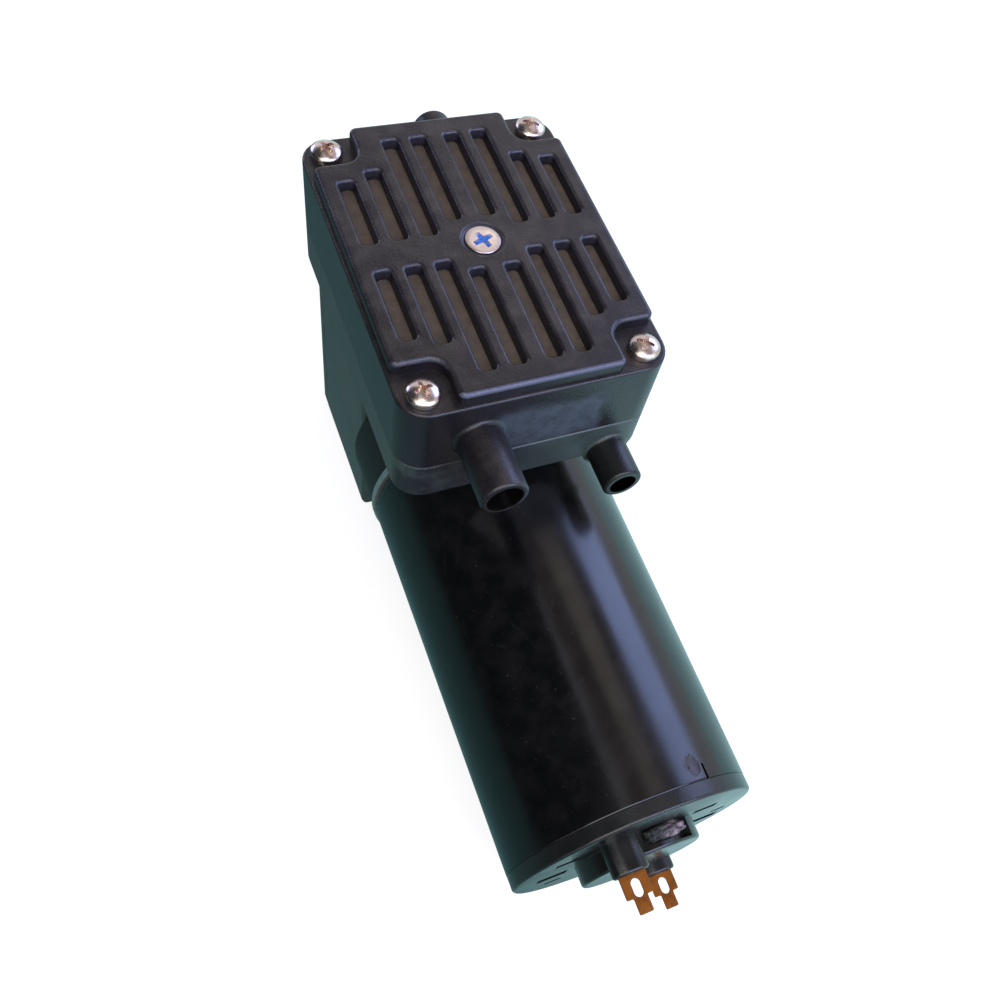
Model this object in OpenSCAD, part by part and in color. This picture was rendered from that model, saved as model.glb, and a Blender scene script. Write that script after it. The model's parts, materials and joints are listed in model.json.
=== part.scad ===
// Mini vacuum pump: a single-diaphragm pump head on a crankcase, driven by a brushed motor.
// Millimetres. +Z is the pump's stroke, out of the ribbed cover. The motor lies along -Y.
// The origin is the centre of the four mounting holes in the crankcase's flat base.

/* [Pump head] */
// Width of the head across the cover
head_w = 46.4; // [44:0.2:56]
// Length of the head along the motor
head_l = 60.4; // [58:0.2:72]
// Radius of the head's upright corners
head_corner_r = 5; // [3:0.5:6]
// Height of the cover, from its top down to the parting line
cover_h = 17.2; // [16:0.2:22]
// Thickness of the crankcase flange under the parting line
flange_h = 9; // [8.6:0.2:12]
// Overhang of the head past the crankcase's rear face
head_overhang = 2.2; // [1.5:0.1:5]
// Height of the raised, ribbed plateau above the screw lands
plateau_h = 2.6; // [2.2:0.1:3.4]
// Inset of the plateau's sides from the cover's sides
plateau_inset = 0.6; // [0.3:0.1:1]
// Width of each corner notch, where a cover screw sits
notch_w = 9; // [8:0.2:10]
// Length of each corner notch
notch_l = 8.7; // [8:0.1:10]
// Radius of each notch's inner corner
notch_r = 3; // [1:0.5:4]
// Radius of the plateau's outer corners, seen from above
plateau_corner_r = 1.2; // [1:0.1:1.6]
// Radius that rounds the plateau's top edge
plateau_edge_r = 0.9; // [0.4:0.1:0.9]
// Radius that rounds the edge of the screw lands
land_edge_r = 0.5; // [0.2:0.1:0.5]
// Radius that rounds the lower edge of the crankcase flange
flange_edge_r = 0.8; // [0.3:0.1:1]
// Bevel of the cover and the flange at the parting line
parting_bevel = 0.25; // [0.1:0.05:0.3]
// Height of the head's underside above the motor's axis
head_rise = 25; // [24.6:0.2:28]
// Thickness of the cover's roof over its chambers, under the screw lands
chamber_roof = 2; // [1.8:0.1:3]

/* [Cover slots] */
// Pitch of the slots across the cover
slot_pitch = 5.05; // [4.9:0.05:5.3]
// Distance between the two middle slots
slot_middle_pitch = 6.1; // [5.6:0.1:6.6]
// Width of a slot at its floor
slot_w = 2.7; // [2:0.1:3.2]
// Depth of a slot
slot_depth = 2.1; // [1:0.1:2.5]
// Radius that rounds a slot's mouth
slot_mouth_r = 0.7; // [0.2:0.1:0.8]
// Radius of a slot's corners, seen from above
slot_corner_r = 0.8; // [0.4:0.1:1.2]
// Half the web between the two rows of slots
slot_inner = 2.9; // [2.2:0.1:3.6]
// Half the web beside the centre screw
slot_inner_middle = 5.5; // [4.8:0.1:6.5]
// Outer end of the outermost slots, from the head's centre
slot_outer_1 = 17.2; // [12:0.2:18.4]
// Outer end of the next slots
slot_outer_2 = 19; // [12:0.2:20]
// Outer end of the four middle slots
slot_outer_3 = 25.6; // [16:0.2:26.4]

/* [Hose ports] */
// Outer diameter of the suction port
suction_od = 8.2; // [7:0.2:9]
// Bore of the suction port
suction_bore = 6.2; // [4:0.2:6.6]
// Length of the suction port
suction_l = 12.1; // [8:0.1:18]
// Distance of the suction port left of the middle
suction_x = 10.3; // [8:0.1:11]
// Outer diameter of the exhaust port and the breather
exhaust_od = 7.4; // [6:0.2:7.8]
// Bore of the exhaust port
exhaust_bore = 5.4; // [3:0.2:5.8]
// Bore of the breather
breather_bore = 4.8; // [3:0.2:5]
// Length of the exhaust port
exhaust_l = 10.3; // [6:0.1:16]
// Distance of the exhaust port right of the middle
exhaust_x = 5; // [4.8:0.1:8]
// Depth of the suction and exhaust ports' axes under the cover's top
port_drop = 11.3; // [10.5:0.1:12]
// Length of the crankcase breather in front of the head
breather_l = 8.1; // [6:0.1:14]
// Distance of the breather right of the middle
breather_x = 15.4; // [13:0.1:16]
// Depth of the breather's axis under the parting line
breather_drop = 7.4; // [6:0.1:7.8]

/* [Crankcase] */
// Width of the crankcase box
crank_w = 42; // [41:0.5:46]
// Length of the crankcase box with its rear cover
crank_l = 30; // [29:0.5:36]
// Wall of the crankcase box
crank_wall = 3; // [2:0.2:3.4]
// Thickness of the crankcase floor
base_t = 7; // [6.5:0.1:7.6]
// Radius of the edges along the crankcase box's base
crank_edge_r = 1.5; // [0.8:0.1:2.5]
// Thickness of the rear cover
rear_cover_t = 2.5; // [2:0.1:4]
// Thickness of the rear cover's gasket
rear_gasket_t = 0.5; // [0.3:0.1:1]
// Length of the round neck between the crankcase box and the motor
neck_l = 12.4; // [10:0.2:16]
// Thickness of the neck's end plate, which carries the motor
neck_plate_t = 6; // [5:0.2:8]
// Mounting hole spacing across the base
base_hole_x = 26; // [20:1:26]
// Mounting hole spacing along the base
base_hole_y = 18; // [12:1:20]
// Tapping diameter of the mounting holes
base_hole_d = 3.3; // [2.5:0.1:3.4]
// Depth of the mounting holes
base_hole_depth = 5.5; // [4:0.1:6]
// Room round the motor's screw heads inside the neck
neck_room = 0.5; // [0.3:0.1:0.7]
// Depth of the dish under the diaphragm
dish_depth = 2.4; // [2.2:0.1:3]
// Radius of the crankcase box's upright front edges
crank_front_r = 1; // [0.4:0.2:2]
// Bevel round the rear cover's outer face
rear_cover_bevel = 0.4; // [0.2:0.1:0.6]
// Distance of the neck's round above the base
neck_rise = 0.4; // [0.2:0.1:1]
// Inset of the rear cover's screws from the crankcase's sides
rear_screw_side = 3.8; // [3.6:0.1:4.2]
// Inset of the rear cover's screws from the base and the flange
rear_screw_end = 4.2; // [3.8:0.1:4.6]
// Diameter of the bosses that take the rear cover's screws
rear_boss_d = 6.8; // [6:0.1:7.2]
// Length of the bosses that take the rear cover's screws
rear_boss_l = 9; // [8:0.5:10]

/* [Motor] */
// Outer diameter of the motor can
motor_d = 45; // [44:0.5:48]
// Length of the motor can
can_l = 74.8; // [74:0.2:90]
// Wall of the motor can
can_wall = 1.6; // [1.2:0.1:2]
// Diameter of the pale mounting ring in front of the motor
ring_d = 45.8; // [45.6:0.2:49]
// Thickness of the mounting ring
ring_t = 1.2; // [0.6:0.1:2]
// Diameter of the can's front bearing boss
boss_d = 17.5; // [17:0.5:20]
// Height of the can's front bearing boss
boss_l = 4.5; // [4.2:0.1:5.2]
// Distance between the two motor fixing screws
motor_screw_pitch = 29; // [27:0.5:30]
// Visible height of the plastic end cap
cap_t = 2.7; // [2:0.1:4]
// Diameter of the end cap at its outer face
cap_d = 42.4; // [40:0.2:43]
// Diameter of the end cap's round boss
cap_boss_d = 21.2; // [18:0.2:21.6]
// Height of the end cap's round boss
cap_boss_h = 2.9; // [2:0.1:4]
// Thickness of the can's front wall
can_front_t = 1.6; // [1.4:0.1:2]
// Radius of the can's front shoulder
shoulder_r = 1.6; // [1:0.1:2]
// Length of the slits that free the can's staked edge
stake_slit_l = 2.5; // [2:0.1:2.8]
// Depth of the punch mark beside each slit
stake_depth = 0.3; // [0.2:0.05:0.4]
// Length of the end cap's spigot inside the can
spigot_l = 3; // [2.4:0.1:3.6]
// Width of a vent slot in the end cap
vent_w = 2.6; // [1.2:0.1:2.8]
// Length of the longer vent slots
vent_l = 6.4; // [5:0.2:6.6]
// Radius that rounds the edges of the end cap and of its boss
cap_edge_r = 0.8; // [0.4:0.1:0.9]
// Distance of the recess in the boss right of the middle
recess_x = 2.8; // [2:0.1:3]
// Width of the recess in the boss, where the suppressor lies
recess_w = 7.6; // [7:0.1:8.4]
// Depth of the recess under the boss's round
recess_depth = 3.2; // [3:0.1:3.4]
// Width of the suppressor
suppressor_w = 6.8; // [6:0.1:6.9]
// Height of the suppressor over the recess's floor
suppressor_h = 2.6; // [2.2:0.1:2.8]
// Length of the suppressor along the motor
suppressor_l = 1.6; // [1.2:0.1:2]
// Outer diameter of the front bearing
front_bearing_od = 13; // [12.8:0.1:13.2]
// Width of the front bearing
front_bearing_w = 4; // [3.6:0.1:4]
// Outer diameter of the rear bush
bush_d = 10; // [8:0.2:10.4]
// Diameter of the motor shaft
shaft_d = 5; // [4:0.5:5]
// Magnet thickness
magnet_t = 3.4; // [2.4:0.1:3.6]
// Length of the magnets
magnet_l = 50; // [40:1:52]
// Air gap between the armature and the magnets
air_gap = 0.7; // [0.4:0.1:1]
// Length of the armature's lamination stack
core_l = 38; // [30:1:40]
// Distance from the magnets' rear ends to the can's rear edge
magnet_setback = 12; // [10:0.5:13]
// Width of an armature tooth
tooth_w = 4.4; // [3.6:0.1:4.6]
// Diameter of the armature's hub
core_hub_d = 12.8; // [12:0.2:13.2]
// Thickness of the tips of the armature's teeth
shoe_t = 2.2; // [1.6:0.1:2.4]
// Height of a coil over the end of the armature
coil_end = 3; // [2:0.1:3.2]
// Width of a coil on each side of its tooth
coil_w = 2.4; // [1.8:0.1:2.5]
// Thickness of the insulators on the armature's ends
insulator_t = 0.5; // [0.4:0.1:0.6]
// Number of armature poles
poles = 5; // [3:1:7]
// Gap between the commutator and the end cap
commutator_gap = 1.6; // [1.4:0.1:3]
// Diameter of the commutator
commutator_d = 11; // [10.6:0.1:11.4]
// Length of the commutator
commutator_l = 8; // [7:0.1:8.2]
// Width of a brush
brush_w = 4; // [3.4:0.1:4.4]
// Height of a brush along the shaft
brush_h = 4.5; // [4:0.1:5]
// Length of a brush
brush_l = 5.5; // [4.8:0.1:6]
// Length of a brush box
brush_box_l = 10; // [9.6:0.1:10.6]
// Wall of a brush box
brush_wall = 0.5; // [0.4:0.1:0.6]
// Wire of a brush spring
spring_wire = 0.5; // [0.4:0.05:0.6]
// Coil radius of a brush spring, to the wire's centre
spring_r = 1.3; // [1.1:0.05:1.4]

/* [Terminals] */
// Width of a terminal blade
blade_w = 4.75; // [4:0.05:5.2]
// Thickness of a terminal blade
blade_t = 0.5; // [0.4:0.1:0.8]
// Width of a blade's narrow tip
blade_tip_w = 2.4; // [2:0.1:3]
// Length of a blade's wide part past its post
blade_l = 3.6; // [3.4:0.1:6]
// Length of a blade's narrow tip
blade_tip_l = 2.7; // [1.5:0.1:4]
// Radius of the circle that the terminals stand on
terminal_r = 13.4; // [12.8:0.1:14]
// Angle of the line through the terminals, from +X
terminal_angle = 116.6; // [110:0.1:122]
// Height of the plastic posts that the blades stand in
post_h = 5.7; // [4:0.1:7]
// Width of a post
post_w = 6.4; // [6:0.1:7]
// Thickness of a post
post_t = 4.2; // [3:0.1:4.6]
// Radius of a post's upright edges
post_edge_r = 1.4; // [0.8:0.1:1.4]
// Radius that rounds the end of a post
post_rim_r = 0.5; // [0.3:0.1:0.6]
// Width of the hole in a blade
blade_hole_w = 1.7; // [1.4:0.1:2]
// Length of the hole in a blade
blade_hole_l = 3; // [2:0.1:3.2]

/* [Drive] */
// Throw of the eccentric: half the diaphragm's stroke
throw = 1.5; // [1:0.1:1.6]
// Distance of the connecting rod's plane in front of the crankcase's centre
rod_offset = 3; // [2.6:0.1:3.4]
// Thickness of the connecting rod
rod_t = 6; // [5:0.2:6.4]
// Outer diameter of the rod's bearing
bearing_od = 16; // [15.6:0.1:16.4]
// Bore of the rod's bearing
bearing_bore = 8; // [7.6:0.1:8.4]
// Width of the rod's bearing
bearing_w = 5; // [4:0.1:5]
// Balls in a bearing
ball_count = 8; // [6:1:8]
// Wall of the rod around its bearing
rod_ring_wall = 2.5; // [2:0.1:3.2]
// Width of the rod's shank
rod_shank_w = 8; // [6.5:0.1:10]
// Diameter of the rod's round platform
platform_d = 15; // [13:0.5:15]
// Thickness of the rod's platform
platform_t = 3; // [2.4:0.1:3]
// Radius of the eccentric's counterweight
weight_r = 14; // [12:0.5:14.4]
// Thickness of the eccentric's counterweight
weight_t = 5; // [3:0.5:6]
// Diameter of the eccentric's hub
hub_d = 15; // [13:0.5:16]
// Length of the eccentric's hub
hub_l = 9; // [8:0.5:10]
// Gap between the rod's bearing and the eccentric's hub, filled by a shoulder
shoulder_t = 1.5; // [1.2:0.1:2]
// Radius of a ball in the rod's bearing
ball_r = 1.2; // [1:0.1:1.3]
// Radius of a ball in the front bearing
front_ball_r = 1; // [0.8:0.1:1.1]

/* [Diaphragm and valves] */
// Outer diameter of the diaphragm
diaphragm_d = 35; // [34:0.5:35.4]
// Thickness of the diaphragm
diaphragm_t = 1.5; // [1:0.1:1.6]
// Width of the diaphragm's clamped rim
rim_w = 3; // [2.4:0.1:3.2]
// Depth of the diaphragm's rolled fold
fold_depth = 0.9; // [0.4:0.1:1.2]
// Depth of the diaphragm's rim under the parting line
seat_drop = 2.5; // [2:0.1:2.8]
// Diameter of the valve plate
plate_d = 36.6; // [36:0.2:37.2]
// Thickness of the valve plate
plate_t = 7; // [6.8:0.1:7.4]
// Diameter of the clamp disc over the diaphragm
clamp_d = 14; // [12:0.5:14]
// Thickness of the clamp disc
clamp_t = 1.8; // [1.7:0.1:2]
// Distance of each valve from the plate's centre
valve_x = 9.8; // [9.6:0.1:10.2]
// Diameter of a valve disc
valve_d = 9; // [8:0.1:9]
// Thickness of a valve disc
valve_t = 0.8; // [0.5:0.1:0.9]
// Lift of a valve disc
valve_lift = 0.5; // [0.3:0.1:0.6]
// Diameter of the ring of holes under a valve disc
valve_hole_ring = 5.4; // [5:0.1:5.6]
// Diameter of each hole under a valve disc
valve_hole_d = 1.6; // [1.2:0.1:1.8]
// Diameter of a valve pin
pin_d = 2; // [1.6:0.1:2]
// Diameter of a valve pin's head
pin_head_d = 3.6; // [3:0.1:3.6]
// Thickness of a valve pin's head
pin_head_t = 0.8; // [0.6:0.1:0.8]
// Diameter of the valve plate's screw boss
plate_boss_d = 7.2; // [6.4:0.2:7.6]
// Height of the valve plate's screw boss
plate_boss_h = 4.5; // [4:0.1:4.8]
// Cord diameter of the valve plate's seal
seal_d = 1.5; // [1:0.1:1.6]
// Height of the seal over the parting line
seal_rise = 2.2; // [1.8:0.1:2.6]

/* [Fasteners] */
// Thread diameter of the small screws
m3_d = 3; // [2.6:0.1:3]
// Diameter of a pan head
pan_d = 5.5; // [5.2:0.1:6]
// Height of a pan head
pan_h = 2.1; // [1.6:0.1:2.2]
// Diameter of a countersunk head
flat_d = 6; // [5.2:0.1:6]
// Inset of the cover screws from the head's sides
cover_screw_x = 4.3; // [4:0.1:5]
// Inset of the cover screws from the head's ends
cover_screw_y = 4; // [4:0.1:5]
// Thread length of a cover screw in the crankcase flange
cover_thread = 5; // [4:0.5:5]
// Thread length of a rear cover screw in its boss
rear_thread = 6; // [4:0.5:7]
// Thread length of the centre screw in the valve plate
centre_thread = 5; // [4:0.5:5.5]
// Length of the screw that holds the rod's bearing
crank_screw_l = 6; // [5:0.5:7]
// Length of the diaphragm's screw in the rod
diaphragm_thread = 7; // [5:0.5:7]
// Thread diameter of the motor's screws
m4_d = 4; // [3.5:0.1:4]
// Head diameter of the motor's screws
motor_head_d = 6.4; // [6:0.1:7]
// Head height of the motor's screws
motor_head_h = 2.4; // [2:0.1:2.6]
// Thread length of a motor screw in the can
motor_screw_thread = 1.4; // [1.2:0.1:1.5]

/* [Clearances] */
// Gap between a screw's shank and its hole
screw_gap = 0.08; // [0.02:0.01:0.2]
// Gap of a running fit, on the radius
run_gap = 0.04; // [0.01:0.01:0.08]
// Gap of a seated or pressed fit, on the radius
seat_gap = 0.02; // [0:0.01:0.05]
// Gap between two stacked or nested pieces
part_gap = 0.1; // [0.05:0.01:0.16]
// Gap between a ball and the groove that it runs in
race_gap = 0.05; // [0.02:0.01:0.08]

/* [Hidden] */
$fn = 64;
eps = 0.01;

// Heights, from the base up
axis_z = ring_d / 2;
head_bottom = axis_z + head_rise;
parting_z = head_bottom + flange_h;
top_z = parting_z + cover_h;
land_z = top_z - plateau_h;
port_z = top_z - port_drop;
breather_z = parting_z - breather_drop;

// Places along the motor
head_y = crank_l / 2 + head_overhang - head_l / 2;
head_front = head_y - head_l / 2;
head_back = head_y + head_l / 2;
box_front = -crank_l / 2;
cover_face = crank_l / 2 - rear_cover_t;
box_back = cover_face - rear_gasket_t;
neck_front = box_front - neck_l;
motor_y = neck_front - ring_t;
rod_y = -rod_offset;

// Pump chamber, from the diaphragm up
plate_bottom = parting_z - seat_drop;
plate_top = plate_bottom + plate_t;
rim_bottom = plate_bottom - diaphragm_t;
crown_z = rim_bottom - throw;
clamp_z = crown_z + diaphragm_t;
clamp_top_high = clamp_z + clamp_t + 2 * throw;
chamber_top = clamp_top_high + 0.6;
chamber_r = valve_x + valve_hole_ring / 2 + valve_hole_d / 2 + 0.9;
valve_travel = valve_t + valve_lift + 2 * part_gap;
inlet_seat = chamber_top + valve_travel + part_gap;
outlet_seat = plate_top - valve_t - part_gap;
plate_r = plate_d / 2;
roof_z = land_z - chamber_roof;
divider_t = 2.4;
plate_boss_r = plate_boss_d / 2;
seal_r = plate_r - seal_d / 2;
seal_z = parting_z + seal_rise;
crank_inner_w = crank_w - 2 * crank_wall;
dish_r = diaphragm_d / 2 - rim_w;
dish_floor = rim_bottom - dish_depth;

// Crankcase and its rear cover
rear_screw_x = crank_w / 2 - rear_screw_side;
rear_screw_low = rear_screw_end;
rear_screw_high = head_bottom - rear_screw_end;
rear_boss_r = rear_boss_d / 2;
rear_cover_h = head_bottom - 4 * part_gap;
neck_r = axis_z - neck_rise;
neck_bore_r = motor_screw_pitch / 2 + motor_head_d / 2 + neck_room;

// Drive
pin_z = axis_z - throw;
hub_r = hub_d / 2;
hub_rear = bearing_w / 2 + shoulder_t;

// Motor
can_r = motor_d / 2;
can_inner = can_r - can_wall;
front_bearing_depth = -boss_l + 0.9;
magnet_inner = can_inner - part_gap - magnet_t;
core_r = magnet_inner - air_gap;
core_depth = can_l - magnet_setback - magnet_l / 2 - core_l / 2;
core_hub_r = core_hub_d / 2;
commutator_depth = can_l - spigot_l - commutator_gap - commutator_l;
shaft_front = rod_y - hub_rear - 2.5;
bush_r = bush_d / 2;
bush_depth = can_l - 1.5;
bush_l = cap_t + cap_boss_h + 0.8;
brush_start = commutator_d / 2 - 0.4;
box_start = commutator_d / 2 + 1.2;
stake_angles = [65, 245];

// Rounded rectangle, centred
module rounded_square(w, l, r) {
    square([w - 2 * r, l], center = true);
    square([w, l - 2 * r], center = true);
    for (x = [-1, 1], y = [-1, 1])
        translate([x * (w / 2 - r), y * (l / 2 - r)])
            circle(r);
}

// Ring of points round a rounded rectangle
function corner_arc(cx, cy, r, start, n) = [
    for (i = [0 : n]) [cx + r * cos(start + 90 * i / n), cy + r * sin(start + 90 * i / n)]
];
function rounded_ring(w, l, r, n = 4) = concat(
    corner_arc(w / 2 - r, l / 2 - r, r, 0, n),
    corner_arc(-w / 2 + r, l / 2 - r, r, 90, n),
    corner_arc(-w / 2 + r, -l / 2 + r, r, 180, n),
    corner_arc(w / 2 - r, -l / 2 + r, r, 270, n)
);

// Steps of a quarter round, and of a plain bevel
round_steps = [0, 0.25, 0.5, 0.75, 1];
bevel_steps = [0, 1];

// Cutter that rounds or bevels the top edge, at z = 0, of a prism. The outline is a function that
// gives the prism's ring of points drawn in by a distance.
module rim_cutter(outline, r, steps = round_steps) {
    reach = 0.5;
    edge = [for (t = steps) [r * (1 - cos(90 * t)), -r * (1 - sin(90 * t))]];
    profile = concat(edge, [[r, reach], [-reach, reach], [-reach, -r]]);
    m = len(profile);
    n = len(outline(0));
    points = [for (p = profile) for (q = outline(p[0])) [q[0], q[1], p[1]]];
    skin = [
        for (k = [0 : m - 1]) for (i = [0 : n - 1])
            let (next = (k + 1) % m, j = (i + 1) % n)
            [k * n + i, k * n + j, next * n + j, next * n + i]
    ];
    polyhedron(points, skin, convexity = 6);
}

// Solid through a stack of rings with equal point counts, from the lowest to the highest
module loft(rings, heights) {
    n = len(rings[0]);
    last = len(rings) - 1;
    points = [for (k = [0 : last]) for (p = rings[k]) [p[0], p[1], heights[k]]];
    sides = [
        for (k = [0 : last - 1]) for (i = [0 : n - 1])
            [k * n + i, (k + 1) * n + i, (k + 1) * n + (i + 1) % n, k * n + (i + 1) % n]
    ];
    floor_face = [for (i = [0 : n - 1]) i];
    roof_face = [for (i = [0 : n - 1]) last * n + n - 1 - i];
    polyhedron(points, concat(sides, [floor_face, roof_face]), convexity = 4);
}

// Places along the motor: local Z runs from the can's front face to its rear
module at_motor(depth = 0) {
    translate([0, motor_y - depth, axis_z])
        rotate([90, 0, 0])
            children();
}

// Places on an axis along -Y
module along_motor(x, y, z) {
    translate([x, y, z])
        rotate([90, 0, 0])
            children();
}

// Places on an axis along +Y
module along_rear(x, y, z) {
    translate([x, y, z])
        rotate([-90, 0, 0])
            children();
}

// Cylinder with a bore
module tube(outer_r, inner_r, h) {
    difference() {
        cylinder(r = outer_r, h = h);
        translate([0, 0, -eps])
            cylinder(r = inner_r, h = h + 2 * eps);
    }
}

// Cross recess of a screw head, cut from the top down
module cross_recess(size, depth) {
    for (a = [0, 90])
        rotate(a)
            translate([0, 0, -depth / 2])
                cube([size, size * 0.2, depth + eps], center = true);
}

// Pan-head screw, head up, with its seat at z = 0
module pan_screw(d, head_d, head_h, l) {
    difference() {
        union() {
            translate([0, 0, -l])
                cylinder(d = d, h = l + eps);
            rotate_extrude()
                intersection() {
                    square([head_d / 2, head_h]);
                    translate([0, -head_d * 0.42])
                        circle(head_d * 0.42 + head_h);
                }
        }
        translate([0, 0, head_h])
            cross_recess(head_d * 0.62, head_h * 0.6);
    }
}

// Countersunk screw, its flat head's face at z = 0
module flat_screw(d, head_d, l) {
    head_h = (head_d - d) / 2;
    difference() {
        union() {
            translate([0, 0, -l])
                cylinder(d = d, h = l);
            translate([0, 0, -head_h])
                cylinder(d1 = d, d2 = head_d, h = head_h);
        }
        cross_recess(head_d * 0.55, head_h * 0.9);
    }
}

// Countersunk hole with its face at z = 0
module flat_screw_hole(d, head_d, l) {
    head_h = (head_d - d) / 2;
    translate([0, 0, -l])
        cylinder(d = d + 2 * screw_gap, h = l + eps);
    translate([0, 0, -head_h])
        cylinder(d1 = d + 2 * screw_gap, d2 = head_d + 2 * screw_gap, h = head_h + eps);
}

// Positions of the four cover screws
module cover_screw_places() {
    for (x = [-1, 1], y = [-1, 1])
        translate([x * (head_w / 2 - cover_screw_x), head_y + y * (head_l / 2 - cover_screw_y), 0])
            children();
}

// Hose port with a rounded lip, standing on z = 0
module port_tube(od, l) {
    lip_r = 0.6;
    rotate_extrude() {
        square([od / 2, l - lip_r]);
        square([od / 2 - lip_r, l]);
        translate([od / 2 - lip_r, l - lip_r])
            circle(lip_r, $fn = 32);
    }
}

// Rounded root where a port leaves its wall, standing on z = 0
module port_root(od) {
    root_r = 0.8;
    rotate_extrude()
        difference() {
            square([od / 2 + root_r, root_r]);
            translate([od / 2 + root_r, root_r])
                circle(root_r, $fn = 32);
        }
}

// A quarter of the plateau's outline, drawn in by d: two outer corners and the notch between them
function plateau_quarter(d) =
    let (side = head_w / 2 - plateau_inset - d, end = head_l / 2 - plateau_inset - d)
    let (x = head_w / 2 - notch_w - d, y = head_l / 2 - notch_l - d)
    let (outer_r = plateau_corner_r - d, inner_r = notch_r + d)
    concat(
        corner_arc(side - outer_r, y - outer_r, outer_r, 0, 4),
        [for (p = corner_arc(-x - inner_r, y + inner_r, inner_r, 270, 6)) [-p[0], p[1]]],
        corner_arc(x - outer_r, end - outer_r, outer_r, 0, 4)
    );

// The whole outline: the quarter and its mirrored copies, each second one run backward
function flipped(points, x, y) = [for (p = points) [x * p[0], y * p[1]]];
function backward(points) = [for (i = [len(points) - 1 : -1 : 0]) points[i]];
function plateau_ring(d) =
    let (quarter = plateau_quarter(d))
    concat(
        quarter, backward(flipped(quarter, -1, 1)),
        flipped(quarter, -1, -1), backward(flipped(quarter, 1, -1))
    );

// Raised plateau with a rounded top edge, its top at z = 0
module plateau() {
    difference() {
        translate([0, 0, -plateau_h - eps])
            linear_extrude(plateau_h + eps)
                polygon(plateau_ring(0));
        rim_cutter(function (d) plateau_ring(d), plateau_edge_r);
    }
}

// Body of the head, from a bevel at one end to a rounded edge at the other, standing on z = 0
module head_body(h, edge_r) {
    outline = function (d) rounded_ring(head_w - 2 * d, head_l - 2 * d, head_corner_r - d, 8);
    difference() {
        linear_extrude(h)
            polygon(outline(0));
        translate([0, 0, h])
            rim_cutter(outline, edge_r);
        mirror([0, 0, 1])
            rim_cutter(outline, parting_bevel, bevel_steps);
    }
}

// One slot's cutter, its mouth at z = 0, from inner to outer along +Y
module slot_cutter(inner, outer) {
    mid = (inner + outer) / 2;
    l = outer - inner;
    steps = [0, 0.3, 0.7, 1];
    flare = [for (t = steps) slot_mouth_r * (1 - cos(asin(t)))];
    rise = [for (t = steps) -slot_mouth_r * (1 - t)];
    rings = concat(
        [rounded_ring(slot_w - 0.5, l - 0.5, slot_corner_r)],
        [for (f = flare) rounded_ring(slot_w + 2 * f, l + 2 * f, slot_corner_r + f)],
        [rounded_ring(slot_w + 2 * slot_mouth_r, l + 2 * slot_mouth_r, slot_corner_r + slot_mouth_r)]
    );
    heights = concat([-slot_depth], rise, [1]);
    translate([0, mid, 0])
        loft(rings, heights);
}

// Outer end of slot number i, counted from the middle
function slot_outer(i) = i < 2 ? slot_outer_3 : (i < 3 ? slot_outer_2 : slot_outer_1);
function slot_x(i) = slot_middle_pitch / 2 + i * slot_pitch;

module cover_slots() {
    for (side = [0, 1], row = [0, 1])
        mirror([side, 0, 0])
            mirror([0, row, 0])
                for (i = [0 : 3])
                    translate([slot_x(i), 0, 0])
                        slot_cutter(i == 0 ? slot_inner_middle : slot_inner, slot_outer(i));
}

// Suction and exhaust chambers inside the cover, one each side of the divider
module cover_chambers() {
    w = head_w / 2 - 4 - divider_t / 2;
    back = rod_y + plate_r - 6.5;
    front = head_y - head_l / 2 + 11;
    throat_floor = port_z - suction_bore / 2;
    for (side = [-1, 1])
        translate([side * (divider_t / 2 + w / 2), (front + back) / 2, plate_top - eps])
            linear_extrude(roof_z - plate_top)
                rounded_square(w, back - front, 3);
    translate([-suction_x - suction_bore / 2, head_front + 3, throat_floor])
        cube([suction_bore, front - head_front, suction_bore]);
    translate([exhaust_x - exhaust_bore / 2, back - 3, port_z - exhaust_bore / 2])
        cube([exhaust_bore, head_back - back, exhaust_bore]);
}

module head_cover() {
    color([0.10, 0.09, 0.09])
    difference() {
        union() {
            translate([0, head_y, parting_z])
                head_body(land_z - parting_z, land_edge_r);
            translate([0, head_y, top_z])
                plateau();
            along_motor(-suction_x, head_front + eps, port_z) {
                port_tube(suction_od, suction_l + eps);
                port_root(suction_od);
            }
            along_rear(exhaust_x, head_back - eps, port_z) {
                port_tube(exhaust_od, exhaust_l + eps);
                port_root(exhaust_od);
            }
        }
        translate([0, head_y, top_z])
            cover_slots();
        cover_screw_places()
            translate([0, 0, parting_z - 1])
                cylinder(d = m3_d + 4 * screw_gap, h = cover_h + 2);
        translate([0, head_y, top_z])
            flat_screw_hole(m3_d, flat_d, top_z - plate_top);
        // Socket for the valve plate's screw boss
        translate([0, head_y, plate_top - 1])
            cylinder(r = plate_boss_r + part_gap, h = plate_boss_h + part_gap + 1);
        difference() {
            cover_chambers();
            translate([0, head_y, plate_top - 1])
                cylinder(r = plate_boss_r + 2, h = roof_z);
        }
        // Pocket for the valve plate
        translate([0, rod_y, parting_z - 1])
            cylinder(r = plate_r + part_gap, h = plate_top - parting_z + 1);
        along_motor(-suction_x, head_front + 4, port_z)
            cylinder(d = suction_bore, h = suction_l + 5);
        along_rear(exhaust_x, head_back - 5, port_z)
            cylinder(d = exhaust_bore, h = exhaust_l + 6);
    }
}

module cover_screws() {
    color([0.78, 0.70, 0.64])
    cover_screw_places()
        translate([0, 0, land_z])
            pan_screw(m3_d, pan_d, pan_h, land_z - parting_z + cover_thread);
}

module centre_screw() {
    color([0.75, 0.72, 0.68])
    translate([0, head_y, top_z])
        flat_screw(m3_d, flat_d, top_z - plate_top - plate_boss_h + centre_thread);
}

// Ring of small holes through the valve plate under a valve disc
module valve_holes(z0, z1) {
    for (a = [30 : 60 : 330])
        rotate(a)
            translate([valve_hole_ring / 2, 0, z0])
                cylinder(d = valve_hole_d, h = z1 - z0, $fn = 24);
}

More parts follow.
